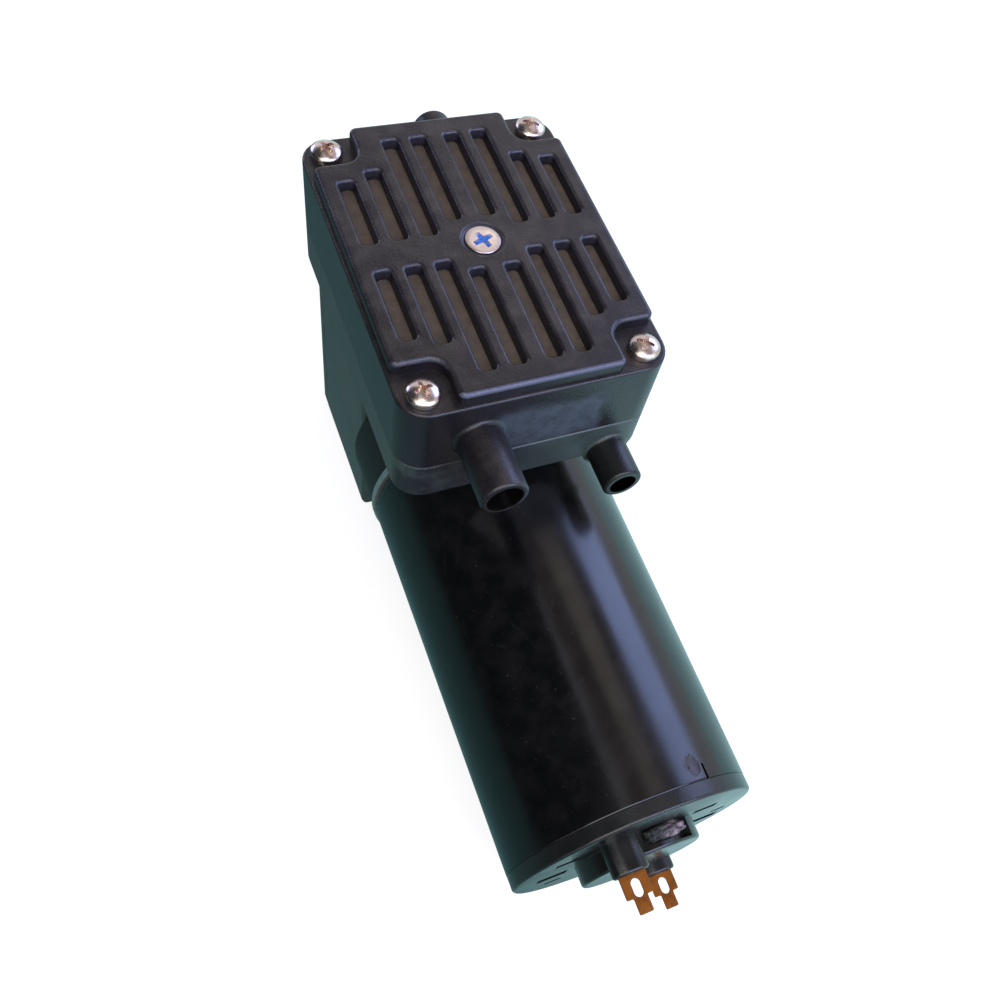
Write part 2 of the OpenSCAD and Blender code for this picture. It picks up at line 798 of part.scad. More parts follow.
module valve_plate() {
    color([0.25, 0.25, 0.27])
    difference() {
        union() {
            translate([0, rod_y, plate_bottom])
                cylinder(r = plate_r, h = plate_t);
            translate([0, head_y, plate_top - eps])
                cylinder(r = plate_boss_r, h = plate_boss_h + eps);
        }
        // Pump chamber over the diaphragm
        translate([0, rod_y, plate_bottom - eps])
            cylinder(r1 = dish_r, r2 = chamber_r, h = chamber_top - plate_bottom + eps);
        // Inlet valve pocket and holes
        translate([-valve_x, rod_y, 0]) {
            translate([0, 0, chamber_top - eps])
                cylinder(d = valve_d + 1, h = inlet_seat - chamber_top + eps);
            valve_holes(inlet_seat - eps, plate_top + eps);
            translate([0, 0, inlet_seat - eps])
                cylinder(d = pin_d + 2 * seat_gap, h = plate_top - inlet_seat + 2 * eps);
        }
        // Outlet valve pocket and holes
        translate([valve_x, rod_y, 0]) {
            translate([0, 0, outlet_seat])
                cylinder(d = valve_d + 1, h = plate_top - outlet_seat + eps);
            valve_holes(chamber_top - eps, outlet_seat + eps);
            translate([0, 0, chamber_top - eps])
                cylinder(d = pin_d + 2 * seat_gap, h = outlet_seat - chamber_top + 2 * eps);
        }
        translate([0, head_y, plate_top + plate_boss_h - centre_thread - 0.5])
            cylinder(d = m3_d + 2 * screw_gap, h = centre_thread + 1);
        // Groove for the seal, round the plate's edge
        translate([0, rod_y, seal_z - seal_d / 2 - part_gap])
            rotate_extrude()
                translate([plate_r - seal_d - part_gap, 0])
                    square(seal_d + 2 * part_gap);
    }
}

module plate_seal() {
    color([0.12, 0.12, 0.13])
    translate([0, rod_y, seal_z])
        rotate_extrude()
            translate([seal_r, 0])
                circle(d = seal_d, $fn = 24);
}

// Pin whose head holds a valve disc, standing up from its seat at z = 0
module valve_pin(seat_depth) {
    translate([0, 0, -seat_depth])
        cylinder(d = pin_d, h = seat_depth + valve_travel + eps);
    translate([0, 0, valve_travel])
        cylinder(d = pin_head_d, h = pin_head_t);
}

module valve_pins() {
    color([0.80, 0.80, 0.78])
    {
        translate([-valve_x, rod_y, inlet_seat])
            mirror([0, 0, 1])
                valve_pin(plate_top - inlet_seat);
        translate([valve_x, rod_y, outlet_seat])
            valve_pin(outlet_seat - chamber_top);
    }
}

module valve_disc() {
    tube(valve_d / 2, pin_d / 2 + run_gap, valve_t);
}

module inlet_valve() {
    color([0.75, 0.30, 0.22])
    translate([-valve_x, rod_y, inlet_seat - part_gap - valve_t])
        valve_disc();
}

module outlet_valve() {
    color([0.75, 0.30, 0.22])
    translate([valve_x, rod_y, outlet_seat + part_gap])
        valve_disc();
}

// Height of the diaphragm's rolled fold, from the rim at t = 0 to the crown at t = 1
function fold(t) = rim_bottom + (crown_z - rim_bottom) * (1 - cos(180 * t)) / 2 - fold_depth * sin(180 * t);

// One moulded disc: a clamped rim, a rolled fold and a flat crown with a screw hole
module diaphragm() {
    crown_r = platform_d / 2 + 0.4;
    fold_r = dish_r - 0.2;
    n = 10;
    low = [for (i = [0 : n]) [fold_r + (crown_r - fold_r) * i / n, fold(i / n) + seat_gap]];
    high = [for (i = [n : -1 : 0]) [low[i][0], low[i][1] + diaphragm_t - 2 * seat_gap]];
    hole_r = m3_d / 2 + screw_gap;
    rim_r = diaphragm_d / 2;
    rim_z = rim_bottom + seat_gap;
    crown = crown_z + seat_gap;
    color([0.16, 0.16, 0.17])
    translate([0, rod_y, 0])
        rotate_extrude()
            polygon(concat(
                [[rim_r, rim_z + diaphragm_t - 2 * seat_gap], [rim_r, rim_z]],
                low,
                [[hole_r, crown], [hole_r, crown + diaphragm_t - 2 * seat_gap]],
                high
            ));
}

// Positions of the rear cover's screws
module rear_screw_places() {
    for (x = [-1, 1], z = [rear_screw_low, rear_screw_high])
        translate([x * rear_screw_x, 0, z])
            children();
}

// Inside of the crankcase box
module crank_cavity() {
    translate([-crank_inner_w / 2, box_front + crank_wall, base_t])
        cube([crank_inner_w, crank_l, dish_floor - base_t]);
    // Round chamber inside the neck
    along_motor(0, box_front + crank_wall + eps, axis_z)
        cylinder(r = neck_bore_r, h = neck_l + crank_wall - neck_plate_t + eps);
    // Dish under the diaphragm
    translate([0, rod_y, dish_floor - eps])
        cylinder(r = dish_r, h = rim_bottom - dish_floor + 2 * eps);
    translate([0, rod_y, rim_bottom])
        cylinder(r = diaphragm_d / 2 + part_gap, h = seat_drop + diaphragm_t + 1);
    translate([0, rod_y, plate_bottom])
        cylinder(r = plate_r + part_gap, h = seat_drop + 1);
}

// Box of the crankcase: rounded along its base, and up its front edges
module crank_box() {
    l = box_back - box_front;
    intersection() {
        translate([0, box_back, 0])
            rotate([90, 0, 0])
                linear_extrude(l) {
                    translate([0, head_bottom / 2])
                        rounded_square(crank_w, head_bottom, crank_edge_r);
                    translate([-crank_w / 2, head_bottom / 2])
                        square([crank_w, head_bottom / 2 + eps]);
                }
        translate([0, box_front + l / 2, -1])
            linear_extrude(head_bottom + 2) {
                rounded_square(crank_w, l, crank_front_r);
                translate([-crank_w / 2, 0])
                    square([crank_w, l / 2]);
            }
    }
}

module crankcase() {
    color([0.09, 0.10, 0.10])
    difference() {
        union() {
            translate([0, head_y, parting_z])
                mirror([0, 0, 1])
                    head_body(flange_h, flange_edge_r);
            crank_box();
            along_motor(0, box_front + eps, axis_z)
                cylinder(r = neck_r, h = neck_l + eps, $fn = 96);
            along_motor(breather_x, box_front, breather_z)
                cylinder(d = exhaust_od, h = box_front - head_front);
            along_motor(breather_x, head_front + eps, breather_z) {
                port_tube(exhaust_od, breather_l + eps);
                port_root(exhaust_od);
            }
        }
        difference() {
            crank_cavity();
            rear_screw_places()
                along_rear(0, box_back - rear_boss_l, 0)
                    cylinder(r = rear_boss_r, h = rear_boss_l + 1);
        }
        rear_screw_places()
            along_rear(0, box_back - rear_thread - 0.5, 0)
                cylinder(d = m3_d + 2 * screw_gap, h = rear_thread + 1);
        cover_screw_places()
            translate([0, 0, parting_z - cover_thread - 0.5])
                cylinder(d = m3_d + 2 * screw_gap, h = cover_thread + 1);
        // Breather bore from the crank chamber to the open air
        along_motor(breather_x, box_front + crank_wall + 1, breather_z)
            cylinder(d = breather_bore, h = box_front + crank_wall + 2 - head_front + breather_l);
        // Pilot and screw holes for the motor
        along_motor(0, neck_front + neck_plate_t + 1, axis_z)
            cylinder(r = boss_d / 2 + part_gap, h = neck_plate_t + 2);
        for (x = [-1, 1])
            along_motor(x * motor_screw_pitch / 2, neck_front + neck_plate_t + 1, axis_z)
                cylinder(d = m4_d + 4 * screw_gap, h = neck_plate_t + 2);
        for (x = [-1, 1], y = [-1, 1])
            translate([x * base_hole_x / 2, y * base_hole_y / 2, -1])
                cylinder(d = base_hole_d, h = base_hole_depth + 1);
    }
}

module rear_cover_outline(extra) {
    translate([0, head_bottom / 2])
        rounded_square(crank_w - extra, rear_cover_h - extra, crank_edge_r);
}

module rear_cover() {
    outline = function (d) rounded_ring(crank_w - 2 * d, rear_cover_h - 2 * d, crank_edge_r - d);
    color([0.09, 0.10, 0.10])
    difference() {
        translate([0, cover_face, head_bottom / 2])
            rotate([-90, 0, 0])
                difference() {
                    linear_extrude(rear_cover_t)
                        polygon(outline(0));
                    translate([0, 0, rear_cover_t])
                        rim_cutter(outline, rear_cover_bevel, bevel_steps);
                }
        rear_screw_places()
            along_rear(0, cover_face - 1, 0)
                cylinder(d = m3_d + 4 * screw_gap, h = rear_cover_t + 2);
    }
}

module rear_gasket() {
    color([0.35, 0.33, 0.30])
    translate([0, cover_face - seat_gap, 0])
        rotate([90, 0, 0])
            linear_extrude(rear_gasket_t - 2 * seat_gap)
                difference() {
                    rear_cover_outline(0.6);
                    difference() {
                        translate([0, (base_t + head_bottom - 3) / 2])
                            square([crank_inner_w, head_bottom - 3 - base_t], center = true);
                        for (x = [-1, 1], z = [rear_screw_low, rear_screw_high])
                            translate([x * rear_screw_x, z])
                                circle(rear_boss_r);
                    }
                    for (x = [-1, 1], z = [rear_screw_low, rear_screw_high])
                        translate([x * rear_screw_x, z])
                            circle(d = m3_d + 4 * screw_gap);
                }
}

module rear_cover_screws() {
    color([0.78, 0.70, 0.64])
    rear_screw_places()
        along_rear(0, crank_l / 2, 0)
            pan_screw(m3_d, pan_d, pan_h - 0.2, crank_l / 2 - box_back + rear_thread);
}

module mounting_ring() {
    color([0.72, 0.76, 0.74])
    at_motor(-ring_t + seat_gap)
        difference() {
            cylinder(r = ring_d / 2 - 0.05, h = ring_t - 2 * seat_gap, $fn = 96);
            translate([0, 0, -1])
                cylinder(r = boss_d / 2 + part_gap, h = ring_t + 2);
            for (x = [-1, 1])
                translate([x * motor_screw_pitch / 2, 0, -1])
                    cylinder(d = m4_d + 4 * screw_gap, h = ring_t + 2);
        }
}

module motor_screws() {
    color([0.62, 0.62, 0.64])
    for (x = [-1, 1])
        along_rear(x * motor_screw_pitch / 2, neck_front + neck_plate_t, axis_z)
            pan_screw(m4_d, motor_head_d, motor_head_h, neck_plate_t + ring_t + motor_screw_thread);
}

module motor_can() {
    color([0.05, 0.05, 0.06])
    at_motor()
        difference() {
            union() {
                // Can with a rounded front shoulder
                rotate_extrude($fn = 96) {
                    translate([0, shoulder_r])
                        square([can_r, can_l - shoulder_r]);
                    square([can_r - shoulder_r, shoulder_r * 2]);
                    translate([can_r - shoulder_r, shoulder_r])
                        circle(shoulder_r, $fn = 48);
                }
                translate([0, 0, -boss_l])
                    cylinder(d = boss_d, h = boss_l + 1);
            }
            translate([0, 0, can_front_t])
                cylinder(r = can_inner, h = can_l, $fn = 96);
            // Bearing seat and shaft hole in the boss
            translate([0, 0, -boss_l + 0.8])
                cylinder(r = front_bearing_od / 2 + seat_gap, h = boss_l + 4);
            translate([0, 0, -boss_l - 1])
                cylinder(d = shaft_d + 2, h = 3);
            for (x = [-1, 1])
                translate([x * motor_screw_pitch / 2, 0, -1])
                    cylinder(d = m4_d + 2 * screw_gap, h = can_front_t + 2);
            // Slits of the staked rear edge, each with a punch mark beside it
            for (a = stake_angles)
                rotate(a) {
                    translate([can_r - can_wall / 2, 0, can_l])
                        cube([can_wall + 1, 0.5, 2 * stake_slit_l], center = true);
                    translate([can_r + 1 - stake_depth, 2.4, can_l - stake_slit_l - 0.6])
                        sphere(1, $fn = 24);
                }
        }
}

module magnets() {
    color([0.22, 0.22, 0.24])
    at_motor(can_l - magnet_setback - magnet_l)
        for (side = [0, 180])
            rotate(side + terminal_angle)
                rotate([0, 0, -60])
                    rotate_extrude(angle = 120, $fn = 96)
                        translate([magnet_inner, 0])
                            square([magnet_t, magnet_l]);
}

// Bearing ring pieces share one ball circle, with a groove for the balls
module bearing_ring(r_in, r_out, w, circle_r, ball) {
    rotate_extrude()
        difference() {
            translate([r_in, 0])
                square([r_out - r_in, w]);
            translate([circle_r, w / 2])
                circle(ball + race_gap, $fn = 32);
        }
}

module bearing_outer(bore, od, w, ball) {
    circle_r = (bore + od) / 4;
    bearing_ring(circle_r + ball * 0.7, od / 2, w, circle_r, ball);
}

module bearing_inner(bore, od, w, ball) {
    circle_r = (bore + od) / 4;
    bearing_ring(bore / 2 + seat_gap, circle_r - ball * 0.7, w, circle_r, ball);
}

module bearing_balls(bore, od, w, ball) {
    circle_r = (bore + od) / 4;
    for (i = [0 : ball_count - 1])
        rotate(360 * i / ball_count)
            translate([circle_r, 0, w / 2])
                sphere(ball, $fn = 24);
}

module front_bearing_outer() {
    color([0.70, 0.71, 0.73])
    at_motor(front_bearing_depth)
        bearing_outer(shaft_d, front_bearing_od, front_bearing_w, front_ball_r);
}

module front_bearing_inner() {
    color([0.70, 0.71, 0.73])
    at_motor(front_bearing_depth)
        bearing_inner(shaft_d, front_bearing_od, front_bearing_w, front_ball_r);
}

module front_bearing_balls() {
    color([0.80, 0.81, 0.82])
    at_motor(front_bearing_depth)
        bearing_balls(shaft_d, front_bearing_od, front_bearing_w, front_ball_r);
}

// Rod bearing, centred on the eccentric's pin
module at_pin(depth) {
    along_motor(0, rod_y - depth, pin_z)
        children();
}

module rod_bearing_inner() {
    color([0.70, 0.71, 0.73])
    at_pin(-bearing_w / 2)
        bearing_inner(bearing_bore, bearing_od, bearing_w, ball_r);
}

module rod_bearing_balls() {
    color([0.80, 0.81, 0.82])
    at_pin(-bearing_w / 2)
        bearing_balls(bearing_bore, bearing_od, bearing_w, ball_r);
}

module rod_bearing_outer() {
    color([0.70, 0.71, 0.73])
    at_pin(-bearing_w / 2)
        bearing_outer(bearing_bore, bearing_od, bearing_w, ball_r);
}

module eccentric() {
    color([0.60, 0.56, 0.48])
    difference() {
        union() {
            along_motor(0, rod_y - hub_rear, axis_z)
                cylinder(r = hub_r, h = hub_l);
            // Counterweight opposite the pin
            along_motor(0, rod_y - hub_rear - 2, axis_z)
                intersection() {
                    cylinder(r = weight_r, h = weight_t);
                    translate([-weight_r, 0, 0])
                        cube([2 * weight_r, weight_r, weight_t]);
                }
            at_pin(bearing_w / 2 + seat_gap)
                cylinder(d = bearing_bore + 2, h = shoulder_t - seat_gap + eps);
            at_pin(-bearing_w / 2)
                cylinder(d = bearing_bore, h = bearing_w + shoulder_t + 2 * eps);
        }
        // Shaft bore, blind from the motor's side
        along_motor(0, rod_y - hub_rear - 2, axis_z)
            cylinder(d = shaft_d + 2 * seat_gap, h = hub_l);
        // Thread for the grub screw, square to the shaft
        translate([0, rod_y - hub_rear - hub_l + 3, axis_z])
            mirror([0, 0, 1])
                cylinder(d = m3_d + 2 * screw_gap, h = hub_r + 1);
        at_pin(-bearing_w / 2 - 1)
            cylinder(d = m3_d + 2 * screw_gap, h = crank_screw_l + 1.5);
    }
}

module set_screw() {
    color([0.30, 0.30, 0.32])
    translate([0, rod_y - hub_rear - hub_l + 3, axis_z - hub_r])
        difference() {
            cylinder(d = m3_d, h = hub_r - shaft_d / 2 - seat_gap);
            translate([0, 0, -eps])
                cylinder(d = 1.5, h = 1.5, $fn = 6);
        }
}

module crank_screw() {
    color([0.62, 0.62, 0.64])
    along_rear(0, rod_y + bearing_w / 2 + seat_gap, pin_z) {
        pan_screw(m3_d, pan_d, pan_h, crank_screw_l);
        tube(bearing_bore / 2 + 1.2, m3_d / 2 - eps, 0.5);
    }
}

// Connecting rod, drawn in the plane that it swings in, about the eccentric's pin
module rod_profile() {
    ring_r = bearing_od / 2 + rod_ring_wall;
    shank_top = crown_z - platform_t - pin_z;
    circle(ring_r);
    polygon([
        [-rod_shank_w * 0.65, 0], [-rod_shank_w / 2, shank_top + 1],
        [rod_shank_w / 2, shank_top + 1], [rod_shank_w * 0.65, 0]
    ]);
}

module connecting_rod() {
    platform_z = crown_z - platform_t;
    rib_low = pin_z + bearing_od / 2 + rod_ring_wall + 1.5;
    rib_high = platform_z - 2;
    color([0.55, 0.56, 0.58])
    difference() {
        union() {
            along_motor(0, rod_y + rod_t / 2, pin_z)
                linear_extrude(rod_t)
                    rod_profile();
            translate([0, rod_y, platform_z])
                cylinder(d = platform_d, h = platform_t);
        }
        along_motor(0, rod_y + rod_t / 2 + 1, pin_z)
            cylinder(d = bearing_od + 2 * seat_gap, h = rod_t + 2);
        translate([0, rod_y, crown_z - diaphragm_thread - 1])
            cylinder(d = m3_d + 2 * screw_gap, h = diaphragm_thread + 2);
        // Lightening pockets on both faces of the shank
        for (side = [-1, 1])
            translate([0, rod_y + side * rod_t / 2, (rib_low + rib_high) / 2 - 2])
                cube([rod_shank_w * 0.5, rod_t * 0.5, rib_high - rib_low - 6], center = true);
    }
}

module clamp_disc() {
    edge_r = 0.6;
    color([0.70, 0.71, 0.73])
    translate([0, rod_y, clamp_z])
        difference() {
            // Edges rounded, so that the disc doesn't cut the diaphragm
            rotate_extrude() {
                square([clamp_d / 2 - edge_r, clamp_t]);
                translate([clamp_d / 2 - edge_r, edge_r])
                    square([edge_r, clamp_t - 2 * edge_r]);
                for (z = [edge_r, clamp_t - edge_r])
                    translate([clamp_d / 2 - edge_r, z])
                        circle(edge_r, $fn = 32);
            }
            translate([0, 0, clamp_t])
                flat_screw_hole(m3_d, flat_d, clamp_t + 1);
        }
}

module diaphragm_screw() {
    color([0.75, 0.72, 0.68])
    translate([0, rod_y, clamp_z + clamp_t])
        flat_screw(m3_d, flat_d, clamp_t + diaphragm_t + diaphragm_thread);
}

module shaft() {
    rear = bush_depth + bush_l - 0.3;
    color([0.66, 0.67, 0.70])
    along_motor(0, shaft_front, axis_z)
        cylinder(d = shaft_d, h = shaft_front - motor_y + rear);
}

module armature_core() {
    reach = 2 * core_r;
    half_shoe = reach * tan(150 / poles);
    color([0.45, 0.46, 0.48])
    at_motor(core_depth)
        linear_extrude(core_l)
            difference() {
                union() {
                    circle(core_hub_r);
                    for (i = [0 : poles - 1])
                        rotate(360 * i / poles) {
                            translate([0, -tooth_w / 2])
                                square([core_r - 1, tooth_w]);
                            intersection() {
                                difference() {
                                    circle(core_r, $fn = 96);
                                    circle(core_r - shoe_t, $fn = 96);
                                }
                                polygon([[0, 0], [reach, half_shoe], [reach, -half_shoe]]);
                            }
                        }
                }
                circle(d = shaft_d + 2 * seat_gap);
            }
}

// One coil wound round one tooth
module coil() {
    inner = core_hub_r + 0.6;
    w = tooth_w + 2 * part_gap;
    outer = sqrt(pow(core_r - shoe_t - part_gap, 2) - pow(w / 2 + coil_w, 2));
    difference() {
        translate([inner, -w / 2 - coil_w, -coil_end])
            cube([outer - inner, w + 2 * coil_w, core_l + 2 * coil_end]);
        translate([inner - 1, -w / 2, -part_gap - insulator_t])
            cube([outer - inner + 2, w, core_l + 2 * part_gap + 2 * insulator_t]);
        // The coil narrows toward the hub
        for (side = [-1, 1])
            translate([inner, side * (w / 2 + coil_w * 0.28), -coil_end - 1])
                rotate(side * 22)
                    translate([-3, side > 0 ? 0 : -6, 0])
                        cube([4.5, 6, core_l + 2 * coil_end + 2]);
    }
}

module windings() {
    color([0.72, 0.36, 0.16])
    at_motor(core_depth)
        for (i = [0 : poles - 1])
            rotate(360 * i / poles)
                coil();
}

module insulators() {
    color([0.70, 0.20, 0.16])
    at_motor(core_depth)
        for (z = [-insulator_t - part_gap / 2, core_l + part_gap / 2])
            translate([0, 0, z])
                linear_extrude(insulator_t)
                    difference() {
                        union() {
                            circle(core_hub_r);
                            for (i = [0 : poles - 1])
                                rotate(360 * i / poles)
                                    translate([0, -tooth_w / 2])
                                        square([core_r - 1.5, tooth_w]);
                        }
                        circle(d = shaft_d + 2 * seat_gap);
                    }
}

module commutator() {
    color([0.80, 0.48, 0.28])
    at_motor(commutator_depth)
        difference() {
            cylinder(d = commutator_d, h = commutator_l);
            translate([0, 0, -1])
                cylinder(d = shaft_d + 2 * seat_gap, h = commutator_l + 2);
            for (i = [0 : poles - 1])
                rotate(360 * (i + 0.5) / poles)
                    translate([commutator_d / 2 - 1, -0.25, -1])
                        cube([2, 0.5, commutator_l + 2]);
        }
}

// Places a brush piece: local X runs outward from the commutator
module brush_places() {
    at_motor(commutator_depth + commutator_l / 2)
        for (side = [0, 180])
            rotate(side + terminal_angle)
                children();
}

module brushes() {
    color([0.18, 0.18, 0.19])
    brush_places()
        difference() {
            translate([brush_start, -brush_w / 2, -brush_h / 2])
                cube([brush_l, brush_w, brush_h]);
            translate([0, 0, -brush_h])
                cylinder(d = commutator_d + 2 * run_gap, h = 2 * brush_h);
        }
}

module brush_boxes() {
    rear = commutator_gap + commutator_l / 2;
    color([0.80, 0.66, 0.36])
    brush_places()
        difference() {
            translate([box_start, -brush_w / 2 - brush_wall, -brush_h / 2 - brush_wall])
                cube([brush_box_l, brush_w + 2 * brush_wall, brush_h / 2 + brush_wall + rear - seat_gap]);
            translate([box_start - 1, -brush_w / 2 - part_gap / 2, -brush_h / 2 - part_gap / 2])
                cube([brush_box_l + 1 - brush_wall, brush_w + part_gap, brush_h + part_gap]);
        }
}

// Coil spring standing on z = 0: a round wire swept along a helix
module coil_spring(r, wire, h, turns) {
    sides = 8;
    steps = turns * 12;
    points = [
        for (k = [0 : steps]) for (j = [0 : sides - 1])
            let (a = 360 * turns * k / steps, b = 360 * j / sides)
            let (reach = r + wire / 2 * cos(b))
            [reach * cos(a), reach * sin(a), wire / 2 * (1 + sin(b)) + (h - wire) * k / steps]
    ];
    skin = [
        for (k = [0 : steps - 1]) for (j = [0 : sides - 1])
            [k * sides + j, k * sides + (j + 1) % sides,
             (k + 1) * sides + (j + 1) % sides, (k + 1) * sides + j]
    ];
    first = [for (j = [sides - 1 : -1 : 0]) j];
    last = [for (j = [0 : sides - 1]) steps * sides + j];
    polyhedron(points, concat(skin, [first, last]), convexity = 6);
}

module brush_springs() {
    x0 = brush_start + brush_l + part_gap;
    x1 = box_start + brush_box_l - brush_wall - part_gap;
    color([0.66, 0.67, 0.70])
    brush_places()
        translate([x0, 0, 0])
            rotate([0, 90, 0])
                coil_spring(spring_r, spring_wire, x1 - x0, 4);
}

module terminal_places() {
    for (side = [0, 1])
        rotate(180 * side + terminal_angle)
            translate([terminal_r, 0, 0])
                rotate(-terminal_angle)
                    children();
}

// Post round a terminal's blade, with rounded edges, standing on z = 0
module terminal_post(h) {
    outline = function (d) rounded_ring(post_w - 2 * d, post_t - 2 * d, post_edge_r - d);
    difference() {
        linear_extrude(h)
            polygon(outline(0));
        translate([0, 0, h])
            rim_cutter(outline, post_rim_r);
    }
}

module end_cap() {
    cap_r = cap_d / 2;
    cap_boss_r = cap_boss_d / 2;
    boss_face = cap_t + cap_boss_h;
    color([0.07, 0.08, 0.08])
    at_motor(can_l)
        difference() {
            union() {
                // Rim, tapered toward its rounded outer face, and the spigot inside the can
                rotate_extrude($fn = 96) {
                    polygon([
                        [0, -spigot_l], [can_inner - part_gap, -spigot_l],
                        [can_inner - part_gap, 0], [can_r - 0.1, 0],
                        [can_r - 0.1, cap_t * 0.35], [cap_r, cap_t - cap_edge_r],
                        [cap_r - cap_edge_r, cap_t], [0, cap_t]
                    ]);
                    translate([cap_r - cap_edge_r, cap_t - cap_edge_r])
                        circle(cap_edge_r, $fn = 32);
                }
                // Round boss with a rounded edge
                rotate_extrude() {
                    square([cap_boss_r, boss_face - cap_edge_r]);
                    square([cap_boss_r - cap_edge_r, boss_face]);
                    translate([cap_boss_r - cap_edge_r, boss_face - cap_edge_r])
                        circle(cap_edge_r, $fn = 32);
                }
                terminal_places()
                    terminal_post(cap_t + post_h);
            }
            // Bush seat, open to the inside
            translate([0, 0, -spigot_l - 1])
                cylinder(r = bush_r + seat_gap, h = spigot_l + 1 + cap_t + cap_boss_h - 0.8);
            // Blade slots through the posts
            terminal_places()
                translate([-blade_w / 2 - part_gap / 2, -blade_t / 2 - part_gap / 2, -spigot_l - 1])
                    cube([blade_w + part_gap, blade_t + part_gap, spigot_l + cap_t + post_h + 2]);
            // Vent slots beside the boss
            for (side = [0, 180], row = [0, 1])
                rotate(side + 8)
                    translate([cap_boss_r + 1.6, -5 + row * 4.2, -spigot_l - 1])
                        cube([vent_l - row * 0.6, vent_w, spigot_l + cap_t + 2]);
            // Recess in the boss for the suppressor
            translate([recess_x - recess_w / 2, cap_boss_r - recess_depth, cap_t + 0.4])
                cube([recess_w, 2 * recess_depth, cap_boss_h + 1]);
        }
}

module rear_bush() {
    color([0.70, 0.52, 0.28])
    at_motor(bush_depth)
        tube(bush_r, shaft_d / 2 + run_gap, bush_l - 0.6);
}

module terminals() {
    inner_l = spigot_l + cap_t + post_h;
    hole_y = inner_l + 2.2;
    hole_half = (blade_hole_l - blade_hole_w) / 2;
    color([0.70, 0.38, 0.20])
    at_motor(can_l)
        terminal_places()
            translate([0, 0, -spigot_l])
                rotate([90, 0, 0])
                    translate([0, 0, -blade_t / 2])
                        linear_extrude(blade_t)
                            difference() {
                                union() {
                                    translate([-blade_w / 2, 0])
                                        square([blade_w, inner_l + blade_l]);
                                    translate([-blade_tip_w / 2, 0])
                                        square([blade_tip_w, inner_l + blade_l + blade_tip_l]);
                                }
                                for (end = [-1, 1])
                                    translate([0, hole_y + end * hole_half])
                                        circle(d = blade_hole_w, $fn = 32);
                                translate([-blade_hole_w / 2, hole_y - hole_half])
                                    square([blade_hole_w, 2 * hole_half]);
                            }
}

module suppressor() {
    half = suppressor_w / 2 - suppressor_h / 2;
    floor_y = cap_boss_d / 2 - recess_depth + seat_gap;
    color([0.52, 0.52, 0.56])
    at_motor(can_l + cap_t + 0.4 + seat_gap)
        translate([recess_x, floor_y + suppressor_h / 2, 0])
            linear_extrude(suppressor_l) {
                square([2 * half, suppressor_h], center = true);
                for (end = [-1, 1])
                    translate([end * half, 0])
                        circle(d = suppressor_h, $fn = 32);
            }
}

head_cover();
cover_screws();
centre_screw();
valve_plate();
plate_seal();
valve_pins();
inlet_valve();
outlet_valve();
diaphragm();
crankcase();
rear_cover();
rear_gasket();
rear_cover_screws();
mounting_ring();
motor_screws();
motor_can();
magnets();
front_bearing_outer();
front_bearing_inner();
front_bearing_balls();
end_cap();
rear_bush();
terminals();
brush_boxes();
brushes();
brush_springs();
suppressor();
shaft();
armature_core();
windings();
commutator();
insulators();
eccentric();
set_screw();
crank_screw();
rod_bearing_inner();
rod_bearing_balls();
rod_bearing_outer();
connecting_rod();
clamp_disc();
diaphragm_screw();
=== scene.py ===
# %% [markdown]
# Mini vacuum pump
# This lesson dresses a small diaphragm vacuum pump: a ribbed black cover over a crankcase, with a
# brushed motor lying in front of it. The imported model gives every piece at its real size, so the
# lesson adds finishes and finer meshes, and each piece rides on the body that carries it.

import json
import math

import bmesh
import bpy
from mathutils import Euler, Matrix, Vector, noise as noise_module

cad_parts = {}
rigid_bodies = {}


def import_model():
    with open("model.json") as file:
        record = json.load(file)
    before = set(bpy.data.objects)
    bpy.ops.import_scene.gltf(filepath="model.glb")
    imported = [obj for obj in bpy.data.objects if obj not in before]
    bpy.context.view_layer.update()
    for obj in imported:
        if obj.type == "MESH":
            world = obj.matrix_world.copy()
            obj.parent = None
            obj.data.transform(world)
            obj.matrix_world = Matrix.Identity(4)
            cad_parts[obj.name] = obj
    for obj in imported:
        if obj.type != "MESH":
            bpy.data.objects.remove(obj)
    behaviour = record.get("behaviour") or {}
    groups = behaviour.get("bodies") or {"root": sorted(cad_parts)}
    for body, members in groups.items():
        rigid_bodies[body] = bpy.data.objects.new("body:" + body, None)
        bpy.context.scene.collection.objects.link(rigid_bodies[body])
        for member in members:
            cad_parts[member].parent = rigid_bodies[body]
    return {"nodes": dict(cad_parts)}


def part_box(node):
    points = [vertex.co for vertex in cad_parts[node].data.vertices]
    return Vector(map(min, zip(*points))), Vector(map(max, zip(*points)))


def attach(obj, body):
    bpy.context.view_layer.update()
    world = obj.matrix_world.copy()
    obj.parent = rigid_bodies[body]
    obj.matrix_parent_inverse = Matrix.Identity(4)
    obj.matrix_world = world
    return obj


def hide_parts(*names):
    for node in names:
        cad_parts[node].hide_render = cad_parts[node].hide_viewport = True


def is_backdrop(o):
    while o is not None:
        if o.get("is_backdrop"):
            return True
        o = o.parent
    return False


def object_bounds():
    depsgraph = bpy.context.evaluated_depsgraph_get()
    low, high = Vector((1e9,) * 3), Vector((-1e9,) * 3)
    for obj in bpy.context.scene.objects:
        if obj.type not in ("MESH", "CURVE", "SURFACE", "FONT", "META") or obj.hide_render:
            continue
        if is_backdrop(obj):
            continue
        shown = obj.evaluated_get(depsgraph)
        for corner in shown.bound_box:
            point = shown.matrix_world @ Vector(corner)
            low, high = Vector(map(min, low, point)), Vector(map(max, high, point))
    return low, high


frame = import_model()
nodes = frame["nodes"]
cad_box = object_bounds()
MM = 0.001
print("packed box in mm:", [[round(v / MM, 1) for v in corner] for corner in cad_box])

# %% [markdown]
# Main sizes
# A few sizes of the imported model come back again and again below, so they are named once. All are in
# millimetres, measured from the middle of the crankcase's foot. The motor lies along Y, with its rear
# toward negative Y.

